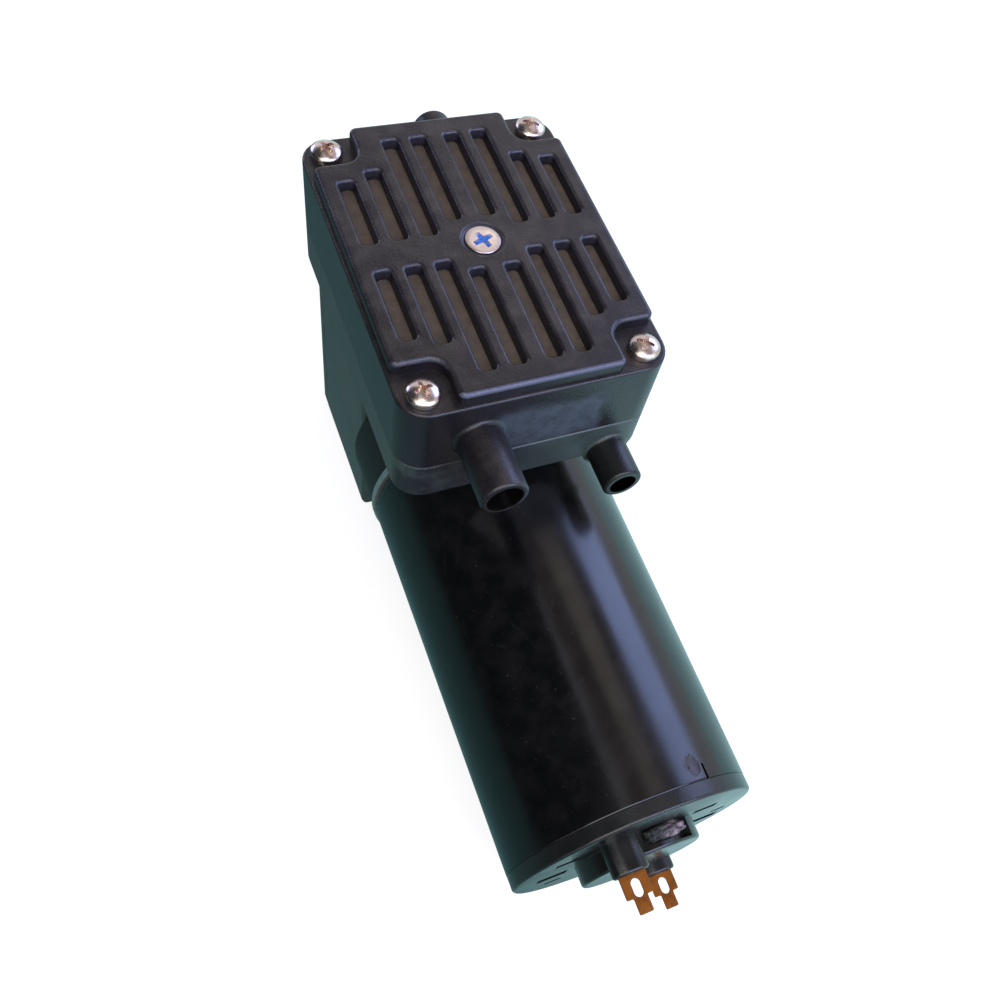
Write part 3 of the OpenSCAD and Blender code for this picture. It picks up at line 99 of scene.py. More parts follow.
# %% Main sizes
def corners(node):
    """Lowest and highest corner of a CAD node, in millimetres."""
    low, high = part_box(node)
    return low / MM, high / MM


AXIS_HEIGHT = 22.9
MOTOR_FACE = -28.6
CAN_LENGTH = 74.8
CAN_RADIUS = 22.5
HEAD_MIDDLE = -13.0
FRONT_FACE = -43.0
LAND_HEIGHT = 71.5
TOP_HEIGHT = 74.1
print("cover's top at", round(corners("head_cover")[1].z, 2), "mm, used here as", TOP_HEIGHT)

# %% [markdown]
# Camera
# The photograph was taken from above the motor's left, close enough for strong perspective. The
# camera's place, angles and lens were solved from the screws, the cover and the motor. The picture
# is a crop of a wider one, so its optical axis lies off the middle, and the lens shift allows for it.

# %% Camera
CAMERA_PLACE = (-53.62, -123.73, 195.44)
CAMERA_ANGLES = (28.96, -11.17, -22.72)
CAMERA_LENS = 35.68
CAMERA_SHIFT = (-0.085, 0.0354)

camera_data = bpy.data.cameras.new("camera")
camera_data.sensor_width = 36
camera_data.lens = CAMERA_LENS
camera_data.shift_x, camera_data.shift_y = CAMERA_SHIFT
camera_data.clip_start = 0.01
camera = bpy.data.objects.new("camera", camera_data)
camera.location = Vector(CAMERA_PLACE) * MM
camera.rotation_euler = Euler([math.radians(a) for a in CAMERA_ANGLES])
bpy.context.scene.collection.objects.link(camera)
bpy.context.scene.camera = camera
print("camera at", CAMERA_PLACE, "mm")

# %% [markdown]
# Shader trees
# Every finish below is a tree of nodes. A few small helpers keep the trees short: one starts a
# material, one adds a node with its values, one joins two sockets, and the rest do sums on sockets.
# Written out by hand in the node editor, each would be a node or two with its links.

# %% Node helpers
def new_node(tree, kind, **values):
    """A new node. A value goes to the input of that name, with _ for a space, or to the node itself."""
    node = tree.nodes.new(kind)
    for key, value in values.items():
        socket = node.inputs.get(key.replace("_", " "))
        if socket is None:
            setattr(node, key, value)
        else:
            socket.default_value = value
    return node


def join(tree, start, end):
    tree.links.new(start, end)


def material(name):
    """A new material, its tree and its Principled shader."""
    mat = bpy.data.materials.new(name)
    mat.use_nodes = True
    return mat, mat.node_tree, mat.node_tree.nodes["Principled BSDF"]


def own_place(tree):
    """Object coordinates, which are metres in the pump's own frame."""
    return new_node(tree, "ShaderNodeTexCoord").outputs["Object"]


def axes(tree, vector):
    """The three parts of a vector, to be picked by X, Y or Z."""
    node = new_node(tree, "ShaderNodeSeparateXYZ")
    join(tree, vector, node.inputs[0])
    return node.outputs

# %% Sums on sockets
def maths(tree, operation, a, b=0.0, clamp=False):
    """A Math node whose two values are sockets or plain numbers. Returns its output."""
    node = new_node(tree, "ShaderNodeMath", operation=operation, use_clamp=clamp)
    for socket, value in zip(node.inputs, (a, b)):
        if isinstance(value, (int, float)):
            socket.default_value = value
        else:
            join(tree, value, socket)
    return node.outputs[0]


def product(tree, *values):
    """All the values multiplied together."""
    total = values[0]
    for value in values[1:]:
        total = maths(tree, "MULTIPLY", total, value)
    return total


def noise(tree, vector, scale, detail=2.0, roughness=0.5):
    """The height of a noise texture. The scale is a socket or a number of waves per metre."""
    node = new_node(tree, "ShaderNodeTexNoise", Detail=detail, Roughness=roughness)
    join(tree, vector, node.inputs["Vector"])
    if isinstance(scale, (int, float)):
        node.inputs["Scale"].default_value = scale
    else:
        join(tree, scale, node.inputs["Scale"])
    return node.outputs[0]


def between(tree, value, none, full):
    """0 at none, 1 at full, with a soft step between. Full may lie below none."""
    node = new_node(tree, "ShaderNodeMapRange", From_Min=none, From_Max=full, interpolation_type="SMOOTHSTEP")
    join(tree, value, node.inputs["Value"])
    return node.outputs["Result"]


def inside(tree, *ranges):
    """1 where every value lies in its range. Each row is a socket in metres, then its lowest and
    highest value and the distance over which its edges fade, in mm."""
    steps = []
    for value, low, high, soft in ranges:
        for none, full in ((low, low + soft), (high + soft, high)):
            steps.append(between(tree, value, none * MM, full * MM))
    return product(tree, *steps)

# %% [markdown]
# Floor and light
# The pump stands on a plain pale floor under plain soft light. Black plastic and gloss paint show
# little colour of their own: most of what the eye sees on them is the room. So the room is arranged
# as for a product picture. The background is white to the camera. Reflections see the same floor in
# pale teal, with a painted shadow of the pump on the left and painted window light on the right. Two dark
# cards, which the camera doesn't see, hold the gloss down, and softboxes stand where the photograph shows
# their streaks: a cool window on the right and a warm, dim one overhead.

# %% Seen background
def ray(tree, key):
    return new_node(tree, "ShaderNodeLightPath").outputs[key]


def mirror_ray(tree):
    """1 for glossy and transmission rays."""
    return maths(tree, "MAXIMUM", ray(tree, "Is Glossy Ray"), ray(tree, "Is Transmission Ray"))


def choose(tree, switch, off, on):
    """The shader on where the switch is 1, and off elsewhere."""
    node = new_node(tree, "ShaderNodeMixShader")
    join(tree, switch, node.inputs[0])
    join(tree, off, node.inputs[1])
    join(tree, on, node.inputs[2])
    return node.outputs[0]


AMBIENT = (0.42, 0.43, 0.46)
ROOM_SEEN = (0.80, 0.80, 0.84)

world = bpy.data.worlds.new("room")
bpy.context.scene.world = world
world.use_nodes = True
tree = world.node_tree
background = tree.nodes["Background"]
background.inputs["Color"].default_value = (*AMBIENT, 1)
white = new_node(tree, "ShaderNodeBackground", Color=(1, 1, 1, 1), Strength=1.0)
room = new_node(tree, "ShaderNodeBackground", Color=(*ROOM_SEEN, 1), Strength=1.0)
mirrored = choose(tree, mirror_ray(tree), background.outputs[0], room.outputs[0])
seen = choose(tree, ray(tree, "Is Camera Ray"), mirrored, white.outputs[0])
join(tree, seen, tree.nodes["World Output"].inputs["Surface"])
print("room: ambient", AMBIENT, "and seen in reflections as", ROOM_SEEN)

# %% [markdown]
# Floor
# The floor is a wide sheet just under the pump. The eye sees it white with the pump's shadow, and
# reflections see it teal. A Color Ramp along X paints light into what reflections see: dark on the left as a
# painted shadow of the pump, and bright beside the window as painted window light.

# %% Floor
FLOOR_REACH = 1.2
FLOOR_DROP = 0.02
FLOOR_COLOUR = (0.6, 0.65, 0.65)
FLOOR_LIT = 0.42
FLOOR_LIFT = 0.74
# Painted light seen only in reflections: a painted shadow of the pump on the left, painted window light on
# the right.
FLOOR_PAINTED_LIGHT = (
    (-0.36, (0.015, 0.022, 0.022)), (-0.032, (0.10, 0.22, 0.23)), (0.022, (0.58, 0.95, 1.0)),
)


def stage_sheet(name, size, place=Matrix.Identity(4)):
    """A flat staged sheet of that size in metres, facing its own +Z."""
    bm = bmesh.new()
    spread = Matrix.Diagonal((*size, 1, 1))
    bmesh.ops.create_grid(bm, x_segments=1, y_segments=1, size=0.5, matrix=spread)
    mesh = bpy.data.meshes.new(name)
    bm.to_mesh(mesh)
    bm.free()
    sheet = bpy.data.objects.new(name, mesh)
    bpy.context.scene.collection.objects.link(sheet)
    sheet.matrix_world = place
    sheet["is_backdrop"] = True
    return sheet


floor = stage_sheet("floor", (2 * FLOOR_REACH, 2 * FLOOR_REACH), Matrix.Translation((0, 0, -FLOOR_DROP * MM)))
mat, tree, shader = material("floor")
shader.inputs["Base Color"].default_value = (*FLOOR_COLOUR, 1)
shader.inputs["Specular IOR Level"].default_value = 0.0
painted_light_start, painted_light_end = FLOOR_PAINTED_LIGHT[0][0], FLOOR_PAINTED_LIGHT[-1][0]
slope = new_node(tree, "ShaderNodeMapRange", From_Min=painted_light_start, From_Max=painted_light_end)
join(tree, axes(tree, own_place(tree))["X"], slope.inputs["Value"])
# This ramp paints the pump's shadow and the window's light into the floor that reflections see.
floor_light_ramp = new_node(tree, "ShaderNodeValToRGB")
floor_light_ramp.color_ramp.interpolation = "EASE"
stops = floor_light_ramp.color_ramp.elements
stops.new(0.5)
for stop, (x, colour) in zip(stops, FLOOR_PAINTED_LIGHT):
    stop.position = (x - painted_light_start) / (painted_light_end - painted_light_start)
    stop.color = (*colour, 1)
join(tree, slope.outputs["Result"], floor_light_ramp.inputs["Fac"])
sheen = new_node(tree, "ShaderNodeEmission", Strength=1.0)
join(tree, floor_light_ramp.outputs["Color"], sheen.inputs["Color"])
lit = new_node(tree, "ShaderNodeBsdfDiffuse", Color=(FLOOR_LIT, FLOOR_LIT, FLOOR_LIT, 1))
lift = new_node(tree, "ShaderNodeEmission", Color=(1, 1, 1, 1), Strength=FLOOR_LIFT)
add = new_node(tree, "ShaderNodeAddShader")
join(tree, lit.outputs[0], add.inputs[0])
join(tree, lift.outputs[0], add.inputs[1])
mirrored = choose(tree, mirror_ray(tree), shader.outputs[0], sheen.outputs[0])
seen = choose(tree, ray(tree, "Is Camera Ray"), mirrored, add.outputs[0])
join(tree, seen, tree.nodes["Material Output"].inputs["Surface"])
floor.data.materials.append(mat)
print("floor:", 2 * FLOOR_REACH, "m wide, tinted from x =", painted_light_start, "to", painted_light_end, "m")

# %% [markdown]
# Lamps and cards
# Each lamp and card is placed by a bearing and a height above the horizon, as a photographer would
# walk round the table with it. The top card fades toward its long edges, so that no hard line shows
# on the gloss.

# %% Lamps and cards
AIM = (0, -45, 25)


def facing(direction, distance):
    """A place at a compass bearing and an elevation in degrees. Its +Z faces away from the pump, and
    its +Y runs along the motor as nearly as that allows."""
    bearing, elevation = (math.radians(a) for a in direction)
    away = Vector((
        math.sin(bearing) * math.cos(elevation),
        math.cos(bearing) * math.cos(elevation),
        math.sin(elevation),
    ))
    across = Vector((0, 1, 0)).cross(away).normalized()
    turned = Matrix((across, away.cross(across), away)).transposed().to_4x4()
    return Matrix.Translation((Vector(AIM) + away * distance) * MM) @ turned


def softbox(name, direction, distance, size, glow, colour):
    """A rectangular lamp that faces the pump. Its size in mm is across and along the motor, and its
    glow is the brightness of its face, where 1 is white."""
    data = bpy.data.lights.new(name, "AREA")
    data.shape = "RECTANGLE"
    data.size, data.size_y = (s * MM for s in size)
    data.energy = glow * math.pi * data.size * data.size_y
    data.color = colour
    lamp = bpy.data.objects.new(name, data)
    lamp.matrix_world = facing(direction, distance)
    bpy.context.scene.collection.objects.link(lamp)


def card(name, direction, distance, size, colour, soft=0.0):
    """A card that only reflections see. Its long edges fade over a share of its half width."""
    sheet = stage_sheet(name, tuple(s * MM for s in size), facing(direction, distance))
    mat, tree, _ = material(name)
    glow = new_node(tree, "ShaderNodeEmission", Color=(*colour, 1), Strength=1.0)
    clear = new_node(tree, "ShaderNodeBsdfTransparent")
    off_middle = maths(tree, "ABSOLUTE", axes(tree, own_place(tree))["X"])
    edge = size[0] / 2 * MM
    fade = between(tree, off_middle, edge * (1 - soft), edge)
    faded = choose(tree, fade, glow.outputs[0], clear.outputs[0])
    join(tree, faded, tree.nodes["Material Output"].inputs["Surface"])
    sheet.data.materials.append(mat)
    sheet.visible_camera = False
    sheet.visible_shadow = False
    sheet.visible_diffuse = False
    print(name, "at", direction)


card("left_card", (-72, 34), 850, (1400, 1600), (0.015, 0.02, 0.02))
card("top_card", (60, 72), 900, (1100, 1500), (0.20, 0.16, 0.14), soft=0.5)
softbox("window", (69, 33), 660, (320, 480), 4.0, (0.34, 0.47, 1.0))
softbox("overhead", (45, 65), 640, (190, 430), 0.62, (1.0, 0.88, 0.82))
softbox("key", (215, 52), 600, (500, 420), 2.8, (1.0, 0.97, 0.94))
softbox("front_light", (156, 34), 560, (420, 300), 6.0, (0.50, 0.58, 1.0))
softbox("back_light", (-26, 15), 560, (150, 220), 4.5, (0.50, 0.56, 1.0))
softbox("spark", (26, 45), 600, (70, 70), 4.0, (1.0, 0.90, 0.86))
print("lamps:", len(bpy.data.lights))

# %% [markdown]
# Shader groups
# Several finishes share the same effects: the grain of a moulding tool, edges rubbed pale, dust on
# what faces up, and lines left by machining. Each effect is one node group that puts out only a
# mask, a tone or a height, and every material places it with its own values.

# %% Group helper
def new_group(name, inputs, outputs):
    """A shader group with float or vector inputs, and float outputs."""
    tree = bpy.data.node_groups.new(name, "ShaderNodeTree")
    for key, default in inputs.items():
        kind = "NodeSocketVector" if default is None else "NodeSocketFloat"
        socket = tree.interface.new_socket(name=key, in_out="INPUT", socket_type=kind)
        if default is not None:
            socket.default_value = default
    for key in outputs:
        tree.interface.new_socket(name=key, in_out="OUTPUT", socket_type="NodeSocketFloat")
    return tree, tree.nodes.new("NodeGroupInput"), tree.nodes.new("NodeGroupOutput")


def place_group(tree, group, vector, **values):
    """A group placed in a tree, with its own values. Returns its outputs."""
    node = new_node(tree, "ShaderNodeGroup", node_tree=group, **values)
    join(tree, vector, node.inputs["Vector"])
    return node.outputs

# %% [markdown]
# Moulded grain
# Engineering plastic takes the skin of its steel mould, which is eroded by sparks into a fine, even
# pebble. Two noises make it: a fine one for the pebble, and a slow one for the drift in tone that
# cooling leaves over a wall.

# %% Moulded grain group
moulded_grain, start, end = new_group(
    "moulded_grain", {"Vector": None, "Pebble Scale": 2600.0, "Drift Scale": 45.0}, ("Height", "Drift")
)
pebble = noise(moulded_grain, start.outputs["Vector"], start.outputs["Pebble Scale"], detail=3.0)
join(moulded_grain, between(moulded_grain, pebble, 0.3, 0.7), end.inputs["Height"])
drift = noise(
    moulded_grain, start.outputs["Vector"], start.outputs["Drift Scale"], detail=4.0, roughness=0.6
)
join(moulded_grain, between(moulded_grain, drift, 0.3, 0.72), end.inputs["Drift"])
print("moulded grain:", len(moulded_grain.nodes), "nodes")

# %% [markdown]
# Edge wear
# Handling rubs corners first. A Bevel node gives the normal that a rounded corner would have. Where
# it leaves the true normal, there is an edge, and a noise breaks the band up so that it isn't a
# drawn line.

# %% Edge wear group
edge_wear, start, end = new_group(
    "edge_wear", {"Vector": None, "Radius": 0.0004, "Patch Scale": 500.0}, ("Mask",)
)
rounded = new_node(edge_wear, "ShaderNodeBevel", samples=4)
join(edge_wear, start.outputs["Radius"], rounded.inputs["Radius"])
geometry = new_node(edge_wear, "ShaderNodeNewGeometry")
dot = new_node(edge_wear, "ShaderNodeVectorMath", operation="DOT_PRODUCT")
join(edge_wear, rounded.outputs[0], dot.inputs[0])
join(edge_wear, geometry.outputs["Normal"], dot.inputs[1])
band = maths(edge_wear, "SUBTRACT", 1.0, dot.outputs["Value"])
patches = noise(edge_wear, start.outputs["Vector"], start.outputs["Patch Scale"], detail=5.0)
patches = between(edge_wear, patches, 0.38, 0.62)
mask = product(edge_wear, between(edge_wear, band, 0.03, 0.22), patches)
join(edge_wear, mask, end.inputs["Mask"])
print("edge wear:", len(edge_wear.nodes), "nodes")

# %% [markdown]
# Settled dust
# Dust lies where a surface faces up, in a thin film with a few larger specks. The normal's Z gives
# the lie of the surface, and two noises give the film and the specks.

# %% Settled dust group
settled_dust, start, end = new_group(
    "settled_dust", {"Vector": None, "Film": 0.5, "Specks": 0.5}, ("Mask",)
)
normal = new_node(settled_dust, "ShaderNodeNewGeometry").outputs["Normal"]
upward = between(settled_dust, axes(settled_dust, normal)["Z"], 0.25, 0.95)
film = between(settled_dust, noise(settled_dust, start.outputs["Vector"], 260.0, detail=6.0), 0.35, 0.75)
grit = between(settled_dust, noise(settled_dust, start.outputs["Vector"], 1900.0, detail=2.0), 0.70, 0.78)
film = product(settled_dust, film, start.outputs["Film"])
grit = product(settled_dust, grit, start.outputs["Specks"])
both = maths(settled_dust, "ADD", film, grit)
join(settled_dust, maths(settled_dust, "MULTIPLY", both, upward, clamp=True), end.inputs["Mask"])
print("settled dust:", len(settled_dust.nodes), "nodes")

# %% [markdown]
# Machined lines
# Turned, rolled or ground metal keeps fine parallel lines. A noise squeezed along two axes and
# stretched along the third makes them, so the stretch is an input, as a vector.

# %% Machined lines group
machined_lines, start, end = new_group(
    "machined_lines", {"Vector": None, "Stretch": None, "Line Scale": 1200.0}, ("Height",)
)
squeeze = new_node(machined_lines, "ShaderNodeVectorMath", operation="MULTIPLY")
join(machined_lines, start.outputs["Vector"], squeeze.inputs[0])
join(machined_lines, start.outputs["Stretch"], squeeze.inputs[1])
lines = noise(
    machined_lines, squeeze.outputs[0], start.outputs["Line Scale"], detail=4.0, roughness=0.65
)
join(machined_lines, lines, end.inputs["Height"])
print("machined lines:", len(machined_lines.nodes), "nodes")

# %% [markdown]
# Hair scratches
# Gloss paint shows the hairlines of wiping and a few deeper nicks. The edges of two stretched,
# turned Voronoi patterns give long crossing hairlines, and a slow noise hides most of them.

# %% Hair scratches group
hair_scratches, start, end = new_group("hair_scratches", {"Vector": None, "Amount": 0.5}, ("Mask",))
total = None
for turn, scale in ((0.5, 130.0), (-0.9, 170.0)):
    turned = (turn, turn * 0.7, turn * 1.3)
    place = new_node(hair_scratches, "ShaderNodeMapping", Rotation=turned, Scale=(1.0, 0.12, 1.0))
    join(hair_scratches, start.outputs["Vector"], place.inputs["Vector"])
    cells = new_node(hair_scratches, "ShaderNodeTexVoronoi", feature="DISTANCE_TO_EDGE", Scale=scale)
    join(hair_scratches, place.outputs[0], cells.inputs["Vector"])
    line = between(hair_scratches, cells.outputs["Distance"], 0.012, 0.0)
    total = line if total is None else maths(hair_scratches, "ADD", total, line, clamp=True)
hidden = between(hair_scratches, noise(hair_scratches, start.outputs["Vector"], 90.0, detail=3.0), 0.52, 0.7)
join(hair_scratches, product(hair_scratches, total, hidden, start.outputs["Amount"]), end.inputs["Mask"])
print("shader groups:", ", ".join(sorted(g.name for g in bpy.data.node_groups)))

# %% [markdown]
# Finishes
# A finish is a Principled shader with the groups above around it. Plastics share one function, and
# so do bare metals. Both read Object coordinates, which are metres in the pump's own frame, so a
# pattern keeps its real scale on every piece.

# %% Material helpers
finishes = {}


def blend(tree, mask, base, over):
    """A colour that is over where the mask is 1 and base where it is 0."""
    node = tree.nodes.new("ShaderNodeMix")
    node.data_type = "RGBA"
    join(tree, mask, node.inputs["Factor"])
    for socket, colour in ((node.inputs[6], base), (node.inputs[7], over)):
        if isinstance(colour, tuple):
            socket.default_value = (*colour, 1)
        else:
            join(tree, colour, socket)
    return node.outputs[2]


def shifted(tree, value, factor, offset):
    """The value times a factor, plus an offset."""
    return maths(tree, "ADD", maths(tree, "MULTIPLY", value, factor), offset)


def roughen(tree, shader, mask, low, high):
    """Roughness that runs from low to high with the mask."""
    join(tree, shifted(tree, mask, high - low, low), shader.inputs["Roughness"])


def emboss(tree, shader, height, depth):
    """A bump of that depth in metres, from a height of 0 to 1."""
    bump = new_node(tree, "ShaderNodeBump", Strength=1.0, Distance=depth)
    join(tree, height, bump.inputs["Height"])
    join(tree, bump.outputs[0], shader.inputs["Normal"])

# %% [markdown]
# Ports and bores
# One casting can hold areas that look quite different: a hose port is painted nearly black, and a bore gets
# painted shade, black and without a sheen, since no light comes back out of it. A mask picks such an area by
# its distance from the port's axis, so that the piece needs no second material. All its sizes are in
# millimetres.

# %% Port masks
LOWER_PORT = (15.4, 49.5)
SUCTION_PORT = (-10.3, 62.8)
BORE_END = -30.0
IN_FRONT = -90.0
SOFT_EDGE = 0.2


def round_port(tree, place, x, z, radius, reach):
    """1 within a radius of a port's axis, which runs along Y, and in front of a reach."""
    where = axes(tree, place)
    sideways = maths(tree, "SUBTRACT", where["X"], x * MM)
    upward = maths(tree, "SUBTRACT", where["Z"], z * MM)
    square = maths(tree, "ADD", product(tree, sideways, sideways), product(tree, upward, upward))
    away = maths(tree, "SQRT", square)
    round_part = (away, -1.0, radius - SOFT_EDGE / 2, SOFT_EDGE)
    return inside(tree, round_part, (where["Y"], IN_FRONT, reach - SOFT_EDGE, SOFT_EDGE))


def shade_in(tree, shader, mask, colour, roughness):
    """Where the mask is 1, the shader's colour and roughness give way to these."""
    for key, value in (("Base Color", colour), ("Roughness", roughness)):
        before = shader.inputs[key].links[0].from_socket
        if key == "Roughness":
            gap = product(tree, mask, maths(tree, "SUBTRACT", value, before))
            join(tree, maths(tree, "ADD", before, gap), shader.inputs[key])
        else:
            join(tree, blend(tree, mask, before, value), shader.inputs[key])


def paint_bore_shade(tree, shader, place, port, radius):
    """Paints shade into a port's bore: black and without a sheen, as a deep hole looks."""
    bore = round_port(tree, place, *port, radius, BORE_END)
    shade_in(tree, shader, bore, (0.001, 0.001, 0.001), 0.9)
    join(tree, bore, shader.inputs["Metallic"])


print("ports at (x, z) in mm:", LOWER_PORT, SUCTION_PORT)

# %% [markdown]
# Plastics and rubbers
# Black moulded plastic is never one flat black: its tone drifts, its edges are rubbed paler and dust
# lies on it. One function makes each plastic and rubber of the pump from these, with its own values.

# %% Plastic finish
GRIME = (0.12, 0.10, 0.08)


def plastic(
    name, colour, roughness=0.5, pebble=2600.0, depth=0.00002, dust=(0.3, 0.5), specular=0.5
):
    """Moulded plastic or rubber: grain, drifting tone, rubbed edges and a little dust."""
    mat, tree, shader = material(name)
    place = own_place(tree)
    grain = place_group(tree, moulded_grain, place, Pebble_Scale=pebble)
    wear = place_group(tree, edge_wear, place)
    film = place_group(tree, settled_dust, place, Film=dust[0], Specks=dust[1])
    deep = tuple(c * 0.72 for c in colour)
    pale = tuple(c * 1.35 + 0.002 for c in colour)
    worn = tuple(c * 2.2 + 0.01 for c in colour)
    dusty = tuple(0.6 * c + 0.4 * g for c, g in zip(colour, GRIME))
    tone = blend(tree, grain["Drift"], deep, pale)
    tone = blend(tree, wear["Mask"], tone, worn)
    join(tree, blend(tree, film["Mask"], tone, dusty), shader.inputs["Base Color"])
    roughen(tree, shader, grain["Drift"], roughness - 0.06, roughness + 0.08)
    emboss(tree, shader, grain["Height"], depth)
    shader.inputs["Specular IOR Level"].default_value = specular
    finishes[name] = mat
    return tree, shader, place


plastic("cap_plastic", (0.008, 0.009, 0.009), 0.24, pebble=3200.0, depth=0.000008, dust=(0.08, 0.3))
plastic("grey_plastic", (0.05, 0.05, 0.055), 0.5)
plastic("black_rubber", (0.012, 0.012, 0.013), 0.7, pebble=1800.0, specular=0.3)
plastic("red_rubber", (0.42, 0.09, 0.05), 0.65, pebble=1800.0, specular=0.35)
plastic("red_insulator", (0.40, 0.045, 0.03), 0.55)
plastic("gasket", (0.09, 0.08, 0.07), 0.85, pebble=900.0, depth=0.00004, specular=0.2)
plastic("ferrite", (0.045, 0.045, 0.05), 0.6, pebble=1500.0, depth=0.00003)
plastic("carbon", (0.02, 0.02, 0.022), 0.5, pebble=1700.0)
print("plastics:", ", ".join(finishes))

# %% [markdown]
# The crankcase's finish
# The crankcase is the same plastic, paler and greener than the cover, and it isn't even. Its lower
# port is painted nearly black, its neck is painted dark as painted shadow between the flange and the motor,
# and the corner of its flange under the suction port has a painted dark reflection. Masks on
# Object coordinates put each of these in its place.

# %% Crankcase finish
# A painted dark reflection: its colour, and the box on the flange's front corner that it fills.
DARK_REFLECTION = (0.012, 0.011, 0.016)
DARK_REFLECTION_LOW = (-30, -60, 40)
DARK_REFLECTION_HIGH = (-7, -40.5, 70)
DARK_REFLECTION_FADES = (9, 2.5, 1)
PORT_BLACK = (0.006, 0.006, 0.006)
PORT_ROOT = -43.4
NECK_SHADOW = (0.006, 0.007, 0.007)
NECK_RADIUS = 22.6
NECK_START = -14.9

tree, shader, place = plastic("case_plastic", (0.041, 0.058, 0.051), 0.42, dust=(0.15, 0.4))
where = axes(tree, place)
# Painted dark reflection on the flange's front corner under the suction port.
dark_reflection_area = inside(tree, *zip([where[axis] for axis in "XYZ"], DARK_REFLECTION_LOW, DARK_REFLECTION_HIGH, DARK_REFLECTION_FADES))
blotches = between(tree, noise(tree, place, 160.0, detail=5.0, roughness=0.65), 0.25, 0.6)
shade_in(tree, shader, product(tree, dark_reflection_area, blotches), DARK_REFLECTION, 0.5)
shade_in(tree, shader, round_port(tree, place, *LOWER_PORT, 3.9, PORT_ROOT), PORT_BLACK, 0.36)
# Painted shade in the lower port's bore.
paint_bore_shade(tree, shader, place, LOWER_PORT, 2.5)
# Painted shadow: the neck, between the flange and the motor, is painted nearly black.
neck = round_port(tree, place, 0, AXIS_HEIGHT, NECK_RADIUS, NECK_START)
shade_in(tree, shader, neck, NECK_SHADOW, 0.5)
print("crankcase finish:", len(tree.nodes), "nodes")

# %% [markdown]
# Bare metals
# The screws are nickel plated, the ring is passivated steel, and the blades are tinned copper that
# heat has browned. Each has machined lines, patches of tarnish and brighter, rubbed edges.

# %% Metal finish
def metal(
    name, colour, roughness=0.3, stretch=(1, 1, 0.04), lines=1500.0, tarnish=None, depth=0.000006,
    metallic=1.0, specular=0.5,
):
    """Bare or plated metal: machined lines, tarnish in patches and rubbed edges."""
    mat, tree, shader = material(name)
    place = own_place(tree)
    marks = place_group(tree, machined_lines, place, Stretch=stretch, Line_Scale=lines)
    wear = place_group(tree, edge_wear, place, Radius=0.0002)
    patches = between(tree, noise(tree, place, 420.0, detail=6.0, roughness=0.65), 0.42, 0.68)
    rubbed = tuple(min(1.0, c * 1.2 + 0.05) for c in colour)
    tone = blend(tree, patches, colour, tarnish or tuple(c * 0.7 for c in colour))
    tone = blend(tree, wear["Mask"], tone, rubbed)
    join(tree, tone, shader.inputs["Base Color"])
    roughen(tree, shader, marks["Height"], roughness - 0.1, roughness + 0.14)
    emboss(tree, shader, marks["Height"], depth)
    shader.inputs["Metallic"].default_value = metallic
    shader.inputs["Specular IOR Level"].default_value = specular
    finishes[name] = mat
    return tree, shader


metal("nickel_screw", (0.76, 0.64, 0.58), 0.24, tarnish=(0.56, 0.43, 0.37))
metal("steel", (0.50, 0.51, 0.53), 0.28)
metal("black_steel", (0.06, 0.06, 0.065), 0.4)
metal("pale_metal", (0.60, 0.66, 0.64), 0.5, stretch=(0.06, 1, 0.06))
metal("bronze", (0.45, 0.28, 0.11), 0.4)
metal("brass", (0.62, 0.45, 0.18), 0.32)
metal(
    "terminal_copper", (0.25, 0.078, 0.006), 0.58, tarnish=(0.17, 0.052, 0.006), metallic=0.3, specular=0.2
)
metal("copper_wire", (0.55, 0.18, 0.06), 0.35, stretch=(1, 0.03, 1), lines=2600.0, depth=0.00006)
metal("lamination", (0.32, 0.33, 0.35), 0.42, stretch=(0.02, 1, 0.02), lines=1900.0, depth=0.00003)
metal("cast_alloy", (0.30, 0.31, 0.33), 0.5, stretch=(1, 1, 1), lines=900.0, depth=0.00002)
print("finishes:", len(finishes))

# %% [markdown]
# The cover's finish
# The ribbed cover has the same black plastic, but its slots have gathered a brown film that never
# gets wiped. A mask from the height of the surface tells a slot's floor from the wiped rib tops,
# and the settled dust adds the grains that lie on them.

# %% Cover film
COVER_TOP = corners("head_cover")[1].z
SLOT_DEPTH = 2.1
SLOT_FADE = 0.9
WIPED = (0.011, 0.009, 0.012)
WORN_EDGE = (0.030, 0.027, 0.031)
FILM = (0.105, 0.076, 0.054)
DUST = (0.10, 0.085, 0.075)

mat, tree, shader = material("cover_plastic")
finishes["cover_plastic"] = mat
place = own_place(tree)
where = axes(tree, place)
lie = axes(tree, new_node(tree, "ShaderNodeNewGeometry").outputs["Normal"])
grain = place_group(tree, moulded_grain, place, Pebble_Scale=2300.0)
wear = place_group(tree, edge_wear, place, Radius=0.00035)
dust = place_group(tree, settled_dust, place, Film=0.25, Specks=0.5)
floor_z = (COVER_TOP - SLOT_DEPTH) * MM
sunk = between(tree, where["Z"], floor_z + SLOT_FADE * MM, floor_z)
above_lands = between(tree, where["Z"], floor_z - 0.3 * MM, floor_z - 0.1 * MM)
level = between(tree, lie["Z"], 0.3, 0.9)
streaks = between(tree, noise(tree, place, 700.0, detail=5.0), 0.2, 0.7)
film = product(tree, sunk, above_lands, level, shifted(tree, streaks, 0.45, 0.55))
tone = blend(tree, grain["Drift"], tuple(c * 0.8 for c in WIPED), tuple(c * 1.25 for c in WIPED))
tone = blend(tree, wear["Mask"], tone, WORN_EDGE)
tone = blend(tree, film, tone, FILM)
print("slot floors at", round(floor_z / MM, 1), "mm")

# %% [markdown]
# Painted rim highlights and a frosted patch
# The rims of the plateau and its slots get a painted lavender highlight where they face the front, most of
# all along the front edge. On the front wall, beside the suction port, lies a chalky patch that the mould
# left. The rims are picked by height and by the lie of the surface, and the patch by its place.

# %% Cover rims and patch
FROSTED = (0.052, 0.064, 0.080)
